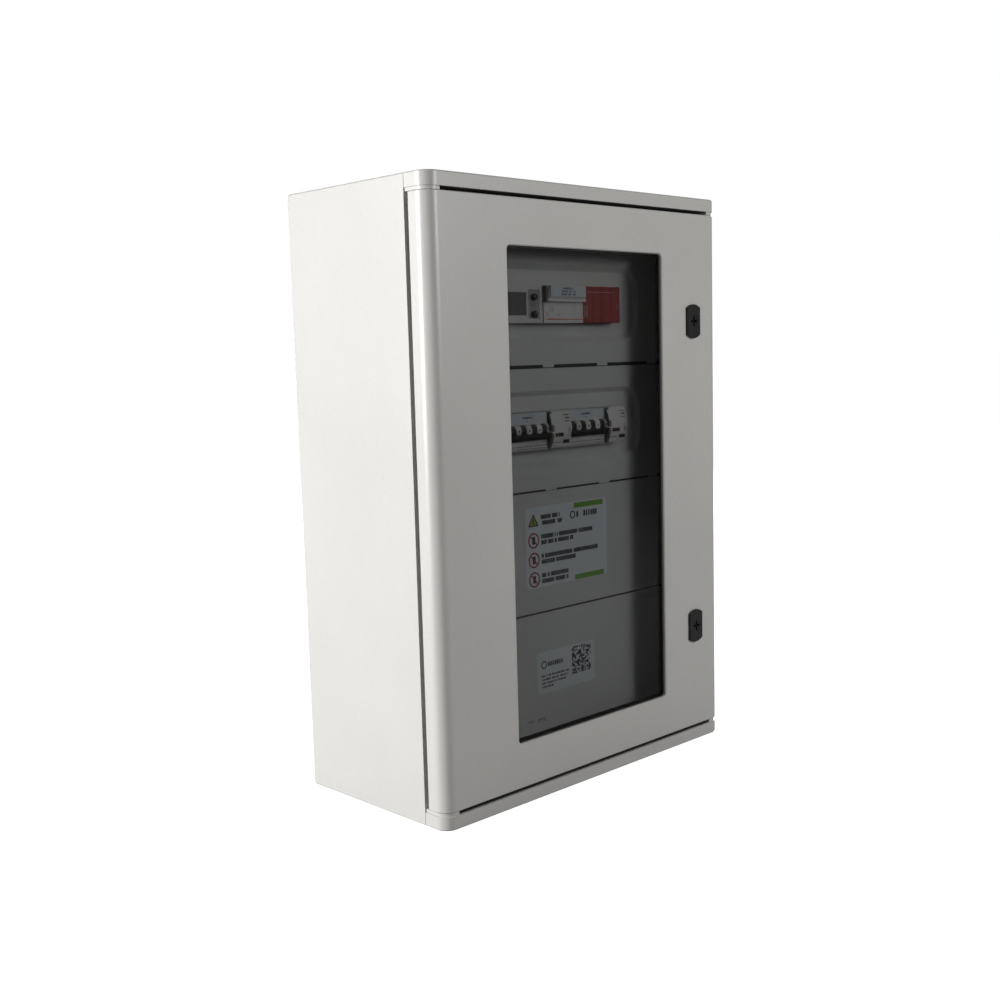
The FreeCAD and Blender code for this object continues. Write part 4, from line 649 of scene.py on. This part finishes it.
# Two thin dark lines paint the shadow under the caption strip's lower edge and the shade along the lever's
# lower edge.
inked("fuse_lever_lines", "device_light", grey_ink, [
    bar(STRIP_X0, STRIP_X1, lever_high.z - 14.1, lever_high.z - 13.3, LEVER_INK),
    bar(STRIP_X0, STRIP_X1, lever_low.z + 3.55, lever_low.z + 4.15, LEVER_INK)], "fuse_lever")
new_piece("fuse_caption_strip", bar(STRIP_X0, STRIP_X1, lever_high.z - 13.2, lever_high.z - 1.2, STRIP_FACE,
                                    STRIP_T * MM), "fuse_lever", "label_blue", caption_strip)
inked("fuse_caption", "label_blue", dark_ink, [
    printed(dark_ink, (STRIP_X0 + STRIP_X1 - length) / 2, lever_high.z - 3.6 - 3.5 * row, STRIP_FACE - 0.05,
            int(length / 1.35), pitch=1.35, height=2.3, seed=20 + row)
    for row, length in enumerate((20.0, 25.0, 26.0))], "fuse_lever")
inked("fuse_rating_print", "device_light", grey_ink, [
    bar(fuse_low.x + 54.6, fuse_low.x + 55.0, FUSE_FOOT + 12, FUSE_FOOT + 22.5, NOSE_INK),
    printed(grey_ink, fuse_low.x + 9.5, FUSE_FOOT + 19, NOSE_INK, 6, lines=3, height=1.0, line_pitch=2.6,
            seed=31),
    printed(grey_ink, fuse_low.x + 3.2, FUSE_FOOT + 11.5, NOSE_INK, 4, lines=2, height=1.0, line_pitch=2.4,
            seed=33),
    printed(grey_ink, fuse_low.x + 22, FUSE_FOOT + 9.5, NOSE_INK, 6, pitch=1.2, height=1.3, seed=35)])
inked("fuse_red_line", "device_light", red_ink, [
    printed(red_ink, fuse_low.x + 4, FUSE_FOOT + 4.4, NOSE_INK, 24, pitch=1.33, height=1.7, seed=38),
    bar(fuse_low.x + 8, fuse_high.x - 1, FUSE_FOOT + 3.9, FUSE_FOOT + 4.9, NOSE_FACE - 0.04)])


# ------------------------------------------------------------------ surge arrester
# Four plug-in cartridges in red polyamide on a common base. Each shows a printed circuit line and
# small status windows at its foot, and the fine pale lines are pad-printed ratings.
surge_red = moulded("red_polyamide", (0.330, 0.030, 0.030), (0.280, 0.025, 0.025), (0.38, 0.50), grain=1500.0,
                    depth=0.000014, clouds=14.0)
finish(surge_red, "surge_base", "surge_cartridges")
surge_low, surge_high = in_mm("surge_cartridges")
SURGE_FACE = surge_low.y
SURGE_INK = SURGE_FACE - 0.05
MODULE = 17.5                                  # width of one pole on the rail
inked("surge_rating_print", "surge_red", pale_ink, [
    printed(pale_ink, surge_low.x + 4.5, surge_high.z - 7.0, SURGE_INK, 36, pitch=1.5, height=0.55, seed=41),
    ribs(pale_ink, surge_low.x + 2.6, SURGE_FACE, surge_low.z + 6.5, 10, (0, 0, 1.55), (2.2, 0.1, 0.5)),
    ribs(pale_ink, surge_low.x + 6.8, SURGE_FACE, surge_low.z + 7.5, 9, (0, 0, 1.6), (3.0, 0.1, 0.45)),
    printed(pale_ink, surge_high.x - 6.5, ROW_1_Z, SURGE_INK, 3, lines=2, pitch=1.4, height=0.7,
            line_pitch=3.4, seed=44)])
inked("surge_status_windows", "black_plastic", black_plastic, [
    disc(surge_low.x + 4.2 + MODULE * pole, surge_low.z + 4.8, 0.9, SURGE_INK) for pole in range(4)])


# ------------------------------------------------------------------ circuit breakers
# Two four-pole breakers in white polyamide. Black toggles turn between rounded cheeks and share a
# wide tie bar. A bluish caption strip clips in over them, and a line marks the lower terminal cover.
finish(device_white, "breaker_1_housing", "breaker_2_housing")
finish(black_plastic, "breaker_1_toggles", "breaker_2_toggles")
finish(caption_strip, "breaker_label_strips")
DRUM_R = 8.5
CHEEK_R = 9.5
DRUM_Y = NOSE_FACE + 5.0                       # toggle axis behind the noses' front
DRUM_UP = 1.0                                  # and above the device middle
HALF_MARK = 1.1                                # half the width of a mark on a toggle


def drum_mark(axis_y, axis_z, x0, x1, radius, start, end):
    """Thin curved plate on a toggle's round, between two angles above level."""
    shape = bmesh.new()
    steps = 4
    rows = []
    for step in range(steps + 1):
        turn = radians(start + (end - start) * step / steps)
        for reach in (radius, radius + 0.06):
            rows.append([shape.verts.new((x * MM, (axis_y - reach * cos(turn)) * MM,
                                          (axis_z + reach * sin(turn)) * MM)) for x in (x0, x1)])
    for step in range(steps):
        low_in, low_out, high_in, high_out = rows[2 * step:2 * step + 4]
        shape.faces.new((low_out[0], low_out[1], high_out[1], high_out[0]))
        shape.faces.new((low_in[1], low_in[0], high_in[0], high_in[1]))
        for end_x in (0, 1):
            shape.faces.new((low_in[end_x], low_out[end_x], high_out[end_x], high_in[end_x]))
    for inner, outer in ((rows[0], rows[1]), (rows[-2], rows[-1])):
        shape.faces.new((inner[0], inner[1], outer[1], outer[0]))
    return closed(shape, "mark")


for number in (1, 2):
    low, high = in_mm("breaker_%d_housing" % number)
    middle_z = (low.z + high.z) / 2
    axis_z = middle_z + DRUM_UP
    marks = []
    rivets = []
    for pole in range(4):
        toggle_x = low.x - 0.15 + (pole + 0.5) * MODULE
        for mark_x in (toggle_x - 2.1, toggle_x + 2.1):
            marks.append(drum_mark(DRUM_Y, axis_z, mark_x - HALF_MARK, mark_x + HALF_MARK, DRUM_R, 34.0,
                                   46.0))
        cheek_x = toggle_x + MODULE / 2 if pole < 3 else high.x - 2.1
        rivets.append(disc(cheek_x, axis_z + 0.6, 1.15, DRUM_Y - CHEEK_R - 0.12, 0.5 * MM))
    inked("breaker_%d_toggle_marks" % number, "black_plastic", grey_ink, marks, "breaker_%d_toggles" % number)
    inked("breaker_%d_rivets" % number, "black_plastic", black_plastic, rivets)
    strip_y = NOSE_FACE - 0.15
    caption_x = (low.x + high.x) / 2
    inked("breaker_%d_caption" % number, "label_blue", dark_ink, [
        printed(dark_ink, caption_x - 9.0, middle_z + 16.6, strip_y, 14, height=2.4, seed=50 + number),
        disc(caption_x, middle_z + 12.4, 0.9, strip_y - 0.02)])
    inked("breaker_%d_foot_lines" % number, "device_light", dark_ink, [
        bar(low.x + 0.3, high.x - 0.3, middle_z + dz, middle_z + dz + height, y)
        for dz, height, y in ((-17.7, 0.7, NOSE_FACE + 0.93), (-20.6, 0.5, NOSE_INK),
                              (-10.9, 0.4, NOSE_INK))])
    inked("breaker_%d_print" % number, "device_light", grey_ink, [
        printed(grey_ink, low.x + 4, middle_z - 12.8, NOSE_INK, 4, height=1.0, seed=60 + number),
        printed(grey_ink, high.x - 9, middle_z - 12.8, NOSE_INK, 4, height=1.0, seed=63 + number)])


# ------------------------------------------------------------------ residual-current blocks
# Two-module blocks whose bowed noses stand in front of the breakers. A dark sheet paints the
# shade on each nose's left flank. A lamp shines in the dark window, and a white pin carries a trip to the tie
# bar.
finish(device_white, "rcd_1_housing", "rcd_2_housing")
finish(dark_window, "rcd_windows")
finish(black_plastic, "rcd_1_test_button", "rcd_2_test_button")
finish(nylon, "rcd_trip_pins")
red_lamp = lamp("red_lamp", (0.80, 0.05, 0.03), 0.9)
NOSE_HALF = 22.25
BOW_TOP, BOW_MIDDLE, BOW_FOOT = 2.0, 7.5, 1.0  # the bow in front of the device noses, at three heights
FLANK_T = 0.12
FLANK_W = 4.2                                  # painted shade strip along the nose's left edge
WINDOW_PROUD = 6.2                             # the dark window in front of the device noses
LAMP_UP = -6.1                                 # lamp and trip pin above the block's middle
PIN_UP = -2.6


def bow_depth(dz):
    """How far the bowed nose stands in front of the device noses, dz above the block's middle."""
    share = dz / NOSE_HALF
    edge = BOW_TOP if share > 0 else BOW_FOOT
    return BOW_MIDDLE - (BOW_MIDDLE - edge) * share * share


def flank(x, face, z):
    """Thin dark sheet of painted shade that follows the bowed nose and laps round its left edge."""
    shape = bmesh.new()
    steps = 16
    heights = [NOSE_HALF * (2 * step / steps - 1) for step in range(steps + 1)]
    sides = []
    for side_x in (x - FLANK_T, x + FLANK_W):
        front = [shape.verts.new((side_x * MM, (face - bow_depth(dz) - FLANK_T) * MM, (z + dz) * MM))
                 for dz in heights]
        back = [shape.verts.new((side_x * MM, (face + 1.0) * MM, (z + dz) * MM)) for dz in heights]
        sides.append((front, back))
    (front_a, back_a), (front_b, back_b) = sides
    for row_a, row_b in ((front_a, back_a), (front_b, back_b), (front_a, front_b), (back_a, back_b)):
        for step in range(steps):
            shape.faces.new((row_a[step], row_a[step + 1], row_b[step + 1], row_b[step]))
    for end in (0, -1):
        shape.faces.new((front_a[end], back_a[end], back_b[end], front_b[end]))
    return closed(shape, "flank")


for number, glow in ((1, green_lamp), (2, red_lamp)):
    low, high = in_mm("rcd_%d_housing" % number)
    middle_z = (low.z + high.z) / 2
    # A dark sheet paints the shade on the nose's left flank.
    new_piece("rcd_%d_flank" % number, flank(low.x - 0.01, NOSE_FACE, middle_z), "cabinet", "device_grey",
              side_shade_grey)
    ticks = [bar(high.x - reach, high.x - 2.0, middle_z + dz, middle_z + dz + height,
                 NOSE_FACE - bow_depth(dz) - 0.25, 0.5 * MM)
             for reach, dz, height in ((11.0, 17.0, 1.0), (9.0, 13.0, 1.7), (11.0, 9.4, 1.0))]
    ticks += [printed(dark_ink, high.x - 6.5, middle_z + 1.0, NOSE_FACE - BOW_MIDDLE - 0.02, 4, lines=5,
                      pitch=1.2, height=1.1, line_pitch=2.2, seed=70 + number),
              bar(low.x + FLANK_W, high.x - 16.0, middle_z - 15.7, middle_z - 14.9,
                  NOSE_FACE - bow_depth(-15.3) - 0.1)]
    inked("rcd_%d_print" % number, "device_light", dark_ink, ticks)
    lamp_y = NOSE_FACE - WINDOW_PROUD - 0.3
    new_piece("rcd_%d_lamp" % number, disc(low.x + 12.2, middle_z + LAMP_UP, 0.6, lamp_y, 0.3 * MM),
              "cabinet", "dark_window", glow)
    pin_y = NOSE_FACE - bow_depth(PIN_UP) - 0.6
    new_piece("rcd_%d_pin_head" % number, disc(low.x + 1.9, middle_z + PIN_UP, 1.25, pin_y, 0.5 * MM),
              "cabinet", "nylon_white", nylon)


# ------------------------------------------------------------------ inner covers
# Four covers of grey impact-resistant styrene with a fine spark-eroded texture, held by
# quarter-turn fasteners. Filler strips close the unused slot ends. A black strip behind each seam
# paints the shade in the gap, and clips bridge the upper two.
cover_grey = moulded("cover_styrene", (0.600, 0.618, 0.606), (0.570, 0.588, 0.576), (0.42, 0.56),
                     grain=2200.0, depth=0.000016, clouds=7.0, dust=0.25)
covers = ["cover_panel_%d" % number for number in (1, 2, 3, 4)]
finish(cover_grey, *covers, "slot_blanks", "cover_screws", "cover_tabs")
SEAM_SHADE_DEPTH = 1.0                               # face of the shade strip behind the covers' face
SEAM_SHADE_END = 20.0                                # shade strip stops this far from the covers' sides
seam_shade_strips = []
for upper, lower in zip(covers, covers[1:]):
    upper_low, upper_high = in_mm(upper)
    lower_top = in_mm(lower)[1].z
    seam_shade_strips.append(bar(upper_low.x + SEAM_SHADE_END, upper_high.x - SEAM_SHADE_END, lower_top + 0.1,
                           upper_low.z - 0.1, upper_low.y + SEAM_SHADE_DEPTH, MM))


# ------------------------------------------------------------------ adhesive labels
# Two printed film labels on the lower covers. Their wording is replaced by plain strokes, and their
# signs by a plain triangle and plain rings, with two green bands on the larger one.
label_white = moulded("label_film", (0.72, 0.765, 0.80), (0.69, 0.735, 0.77), (0.26, 0.38), grain=500.0,
                      depth=0.000006, clouds=20.0)
label_green = moulded("green_ink", (0.175, 0.400, 0.040), (0.160, 0.370, 0.036), (0.30, 0.42), clouds=120.0)
sign_yellow = moulded("yellow_ink", (0.40, 0.40, 0.07), (0.36, 0.36, 0.06), (0.30, 0.42), clouds=120.0)
sign_red = moulded("sign_red_ink", (0.36, 0.045, 0.040), (0.31, 0.038, 0.034), (0.30, 0.42), clouds=120.0)
finish(label_white, "safety_label", "data_label")
safety_low, safety_high = in_mm("safety_label")
INK_FACE = safety_low.y - 0.05
SIGN_X = safety_low.x + 14.0
SIGN_ZS = [safety_high.z - 16.5 - 24.0 * row for row in range(4)]
SIGN_R = 9.6
BAND_X0 = safety_high.x - 62.0
BAND_X1 = safety_high.x - 7.0
BAND_H = 6.5
RING_R0, RING_R1 = 3.4, 5.0                    # plain ring that stands for a mark
label_ink = moulded("label_ink", (0.012, 0.012, 0.013), (0.024, 0.024, 0.024), (0.40, 0.52), clouds=900.0)

inked("safety_label_green_bands", "label_film", label_green, [
    bar(BAND_X0, BAND_X1, z, z + BAND_H, INK_FACE) for z in (safety_high.z - 8.0, safety_low.z + 0.3)])


def triangle(x, z, reach):
    """Corners of an upright triangle."""
    return arc_points(x, z, reach, 90, 450, 3)[:-1]


def ring(x, z, inner, outer):
    """Flat ring on a label, as two halves."""
    return [arc_band(x, z, inner, outer, start, start + 180, INK_FACE) for start in (0, 180)]


TRIANGLE_Z = SIGN_ZS[0] - 1.5
new_piece("safety_label_triangle_field", outline_plate(triangle(SIGN_X, TRIANGLE_Z, SIGN_R), INK_FACE, INK_T),
          "cabinet", "label_film", sign_yellow)
corners = triangle(SIGN_X, TRIANGLE_Z, SIGN_R + 1.0)
inner = triangle(SIGN_X, TRIANGLE_Z, SIGN_R - 2.0)
safety_print = [bar(SIGN_X - 0.8, SIGN_X + 0.8, TRIANGLE_Z - 3.0, TRIANGLE_Z + 3.5, INK_FACE - 0.04)]
for k in range(3):
    after = (k + 1) % 3
    side = [corners[k], corners[after], inner[after], inner[k]]
    safety_print.append(outline_plate(side, INK_FACE - 0.04, INK_T))
for row, lengths in enumerate(((34.0, 38.0), (96.0, 58.0), (104.0, 62.0), (49.0, 49.0))):
    for line, length in enumerate(lengths):
        safety_print.append(printed(label_ink, SIGN_X + 13.0, SIGN_ZS[row] + 3.6 - 7.2 * line, INK_FACE,
                                    int(length / 2.0), pitch=2.0, height=5.2, seed=100 + 10 * row + line,
                                    gaps=0.07, narrowest=0.80))
safety_print.append(printed(label_ink, SIGN_X + 77.0, SIGN_ZS[0] + 0.5, INK_FACE, 9, pitch=4.4, height=7.0,
                            seed=99))
safety_print += ring(SIGN_X + 70.5, SIGN_ZS[0] + 0.5, RING_R0, RING_R1)
rings = []
for z in SIGN_ZS[1:]:
    safety_print.append(bar(SIGN_X - 2.4, SIGN_X + 2.4, z - 4.6, z + 4.6, INK_FACE))
    slash = bar(-SIGN_R + 1.2, SIGN_R - 1.2, -0.75, 0.75, 0.0)
    slash.transform(Matrix.Rotation(radians(45), 4, "Y"))
    rings += ring(SIGN_X, z, SIGN_R - 2.0, SIGN_R) + [moved(slash, SIGN_X, INK_FACE - 0.06, z)]
inked("safety_label_dark_print", "label_film", label_ink, safety_print)
inked("safety_label_rings", "label_film", sign_red, rings)


def code_square():
    """Square field of small cells, each left out or printed at random."""
    tree, given, sink, add, worked_out = geometry_tree("code_square", [
        ("Cells", WHOLE), ("Pitch", FLOAT), ("Thickness", FLOAT), ("Seed", WHOLE), ("Ink", MATERIAL)])
    total = worked_out("MULTIPLY", given["Cells"], given["Cells"])
    set_out = grid_points(add, worked_out, given["Cells"], total, given["Pitch"], given["Pitch"])
    empty = add("FunctionNodeRandomValue", {"data_type": "BOOLEAN"}, Probability=0.48, Seed=given["Seed"])
    left = add("GeometryNodeDeleteGeometry", Geometry=set_out, Selection=empty.outputs[3])
    cell = add("GeometryNodeMeshCube")
    size = add("ShaderNodeCombineXYZ", X=given["Pitch"], Y=given["Thickness"], Z=given["Pitch"])
    cells = add("GeometryNodeInstanceOnPoints", Points=left.outputs[0], Instance=cell.outputs[0],
                Scale=size.outputs[0])
    close_tree(tree, sink, add, cells.outputs[0], given["Ink"])
    return tree


data_low = in_mm("data_label")[0]
CODE_CELLS = 18
CODE_PITCH = 1.95
data_code = grown(code_square(), Cells=CODE_CELLS, Pitch=CODE_PITCH * MM, Thickness=INK_T, Seed=7,
                  Ink=label_ink)
data_print = [moved(data_code, data_low.x + 64.5, INK_FACE, data_low.z + 15.5)]
for row, length in enumerate((50.0, 47.0, 44.0, 22.0)):
    data_print.append(printed(label_ink, data_low.x + 8.0, data_low.z + 22.0 - 4.6 * row, INK_FACE,
                              int(length / 1.5), pitch=1.5, height=2.3, seed=130 + row))
data_print.append(printed(label_ink, data_low.x + 19.0, data_low.z + 36.0, INK_FACE, 7, pitch=4.0, height=5.6,
                          seed=98))
data_print += ring(data_low.x + 12.5, data_low.z + 36.0, RING_R0, RING_R1)
inked("data_label_print", "label_film", label_ink, data_print)
foot_low = in_mm(covers[-1])[0]
inked("cover_foot_print", "cover_grey", dark_ink, [
    printed(dark_ink, -76.0, foot_low.z + 16.0, foot_low.y - 0.05, 6, pitch=1.6, height=1.5, seed=141),
    printed(dark_ink, -60.0, foot_low.z + 16.0, foot_low.y - 0.05, 9, lines=2, pitch=1.6, height=1.5,
            line_pitch=2.6, seed=143)])


# ------------------------------------------------------------------ door and its seal
# Shallow pressed tray in the same polyester as the body, hung on two steel pins. A strip of black
# closed-cell foam lies between two ribs and meets the sealing lip; a thin black strip paints the shade in
# each rim's gap.
foam, foam_tree, foam_shader = new_finish("closed_cell_foam")
foam_place = new_node(foam_tree, "ShaderNodeTexCoord").outputs["Object"]
foam_cells = new_node(foam_tree, "ShaderNodeTexVoronoi", Vector=foam_place, Scale=900.0).outputs["Distance"]
foam_tree.links.new(blend_colour(foam_tree, (0.012, 0.012, 0.013), (0.040, 0.040, 0.042), foam_cells),
                    foam_shader.inputs["Base Color"])
foam_tree.links.new(spread_value(foam_tree, foam_cells, 0.75, 0.95), foam_shader.inputs["Roughness"])
raised_grain(foam_tree, foam_shader, foam_cells, 0.0002)
finish(polyester, "door_shell")
finish(foam, "door_gasket")
# The strips behind the covers' seams take the black foam finish as painted shade.
inked("cover_seam_strips", "foam_seal", foam, seam_shade_strips)
finish(bright_zinc, "hinge_pins")
door_low = in_mm("door_shell")[0]
body_low, body_high = in_mm("enclosure_body")
RIM_H = 16.0                                   # height of the rims above and below the door
GAP_SHADE_T = 0.8
GAP_SHADE_DEPTH = 22.0
GAP_SHADE_END = 24.0                             # shade strip stops this far from the body's sides
rim_z = body_high.z - RIM_H
# Thin black strips lie in the gaps between the door and the rims and paint the shade there.
inked("rim_draught_strips", "foam_seal", foam, [
    bar(body_low.x + GAP_SHADE_END, body_high.x - GAP_SHADE_END, low, high, door_low.y + 3.0, GAP_SHADE_DEPTH * MM)
    for low, high in ((rim_z - GAP_SHADE_T, rim_z + 0.1), (-rim_z - 0.1, -rim_z + GAP_SHADE_T))])


# ------------------------------------------------------------------ window
# Sheet of smoked polycarbonate behind the opening, bedded on a black rubber strip and held by
# plated clips with screws. Light passes it both ways, dimmed.
rubber = moulded("window_rubber", (0.016, 0.016, 0.017), (0.010, 0.010, 0.011), (0.55, 0.70), grain=900.0,
                 depth=0.00003)
SMOKE = (0.40, 0.40, 0.40)
smoked, pane_tree, pane_shader = new_finish("smoked_polycarbonate")
pane_shader.inputs["Transmission Weight"].default_value = 1.0
pane_shader.inputs["IOR"].default_value = 1.28
pane_skin = placed_group(pane_tree, SKIN, Grain_Scale=60.0, Cloud_Scale=7.0)
pane_colour = blend_colour(pane_tree, tuple(0.96 * c for c in SMOKE), SMOKE, pane_skin.outputs["Clouds"])
pane_tree.links.new(pane_colour, pane_shader.inputs["Base Color"])
pane_tree.links.new(spread_value(pane_tree, pane_skin.outputs["Clouds"], 0.0, 0.012),
                    pane_shader.inputs["Roughness"])
lamp_rays = new_node(pane_tree, "ShaderNodeLightPath").outputs["Is Shadow Ray"]
let_through = new_node(pane_tree, "ShaderNodeBsdfTransparent", Color=rgba(tuple(c ** 0.5 for c in SMOKE)))
either = new_node(pane_tree, "ShaderNodeMixShader", Fac=lamp_rays, _1=pane_shader.outputs["BSDF"],
                  _2=let_through.outputs["BSDF"])
pane_tree.links.new(either.outputs["Shader"], pane_tree.nodes["Material Output"].inputs["Surface"])
finish(rubber, "window_gasket")
finish(smoked, "window_pane")
finish(bright_zinc, "pane_clips", "pane_clip_screws")


# ------------------------------------------------------------------ locks
# Two quarter-turn locks with black moulded escutcheons, a round core with a cross-shaped key socket,
# a hexagon nut behind the door and a plated cam.
lock_black = moulded("lock_polyamide", (0.020, 0.020, 0.021), (0.013, 0.013, 0.014), (0.30, 0.42),
                     grain=1300.0, depth=0.00002)
finish(lock_black, "lock_housings", "upper_lock_insert", "lower_lock_insert")
finish(bright_zinc, "lock_nuts", "upper_lock_cam", "lower_lock_cam")


# ------------------------------------------------------------------ floor, light and camera
# Plain white lit floor under the cabinet. A broad key light on the left lights the side and leaves
# the door to a soft light in front, and a third fills the right and the back. The camera is to the left.
FLOOR_Z = cad_box[0][2]
FLOOR_REACH = 60.0
PAPER = (0.30, 0.30, 0.30)                     # what the floor throws back at the cabinet
PAPER_GLOW = 0.97                              # the floor is lit from below, so shadows stay faint
floor_mesh = bpy.data.meshes.new("floor")
floor_mesh.from_pydata([(-FLOOR_REACH, -FLOOR_REACH, FLOOR_Z), (FLOOR_REACH, -FLOOR_REACH, FLOOR_Z),
                        (FLOOR_REACH, FLOOR_REACH, FLOOR_Z), (-FLOOR_REACH, FLOOR_REACH, FLOOR_Z)], [],
                       [(0, 1, 2, 3)])
floor = bpy.data.objects.new("floor", floor_mesh)
bpy.context.scene.collection.objects.link(floor)
paper = moulded("floor_paper", PAPER, tuple(0.97 * c for c in PAPER), (0.8, 0.9), grain=300.0, depth=0.00001,
                clouds=0.6)
paper_rays = new_node(paper.node_tree, "ShaderNodeLightPath").outputs["Is Camera Ray"]
paper_glow = new_node(paper.node_tree, "ShaderNodeMath", TIMES, _0=paper_rays, _1=PAPER_GLOW)
paper_shader = paper.node_tree.nodes["Principled BSDF"]
paper_shader.inputs["Emission Color"].default_value = (1.0, 1.0, 1.0, 1.0)
paper.node_tree.links.new(paper_glow.outputs["Value"], paper_shader.inputs["Emission Strength"])
floor_mesh.materials.append(paper)

world = bpy.data.worlds.new("studio")
world.use_nodes = True
bpy.context.scene.world = world
surround = world.node_tree.nodes["Background"]
surround.inputs["Color"].default_value = (1.0, 0.99, 0.97, 1.0)
surround.inputs["Strength"].default_value = 0.11
seen = new_node(world.node_tree, "ShaderNodeBackground", Color=(1.0, 1.0, 1.0, 1.0))
rays = new_node(world.node_tree, "ShaderNodeLightPath").outputs["Is Camera Ray"]
choice = new_node(world.node_tree, "ShaderNodeMixShader", Fac=rays, _1=surround.outputs["Background"],
                  _2=seen.outputs["Background"])
world.node_tree.links.new(choice.outputs["Shader"], world.node_tree.nodes["World Output"].inputs["Surface"])


def soft_box(name, power, side, place):
    """Square lamp that faces the middle of the cabinet; side and place in metres."""
    light = bpy.data.lights.new(name, "AREA")
    light.energy = power
    light.size = side
    holder = bpy.data.objects.new(name, light)
    holder.location = place
    holder.rotation_euler = Vector(place).to_track_quat("Z", "Y").to_euler()
    bpy.context.scene.collection.objects.link(holder)


soft_box("key_light", 218.0, 1.5, (-3.8, 1.6, 0.75))
soft_box("front_light", 18.0, 0.74, (0.68, -2.05, 0.74))
soft_box("right_light", 105.0, 1.6, (2.8, 2.2, 1.2))

EYE = Vector((-1.1274, -1.2443, 0.1630))
YAW, PITCH, ROLL = radians(43.648), radians(6.959), radians(-1.618)
ahead = Vector((sin(YAW) * cos(PITCH), cos(YAW) * cos(PITCH), -sin(PITCH)))
level = Vector((cos(YAW), -sin(YAW), 0.0))
upright = level.cross(ahead)
right = cos(ROLL) * level + sin(ROLL) * upright
above = -sin(ROLL) * level + cos(ROLL) * upright
camera_data = bpy.data.cameras.new("camera")
camera_data.lens = 44.676
camera_data.sensor_width = 36.0
camera_data.shift_x = 0.0128
camera_data.shift_y = 0.0088
camera = bpy.data.objects.new("camera", camera_data)
camera.matrix_world = Matrix((right, above, -ahead)).transposed().to_4x4()
camera.location = EYE
bpy.context.scene.collection.objects.link(camera)
bpy.context.scene.camera = camera
bpy.context.scene.view_settings.view_transform = "Standard"
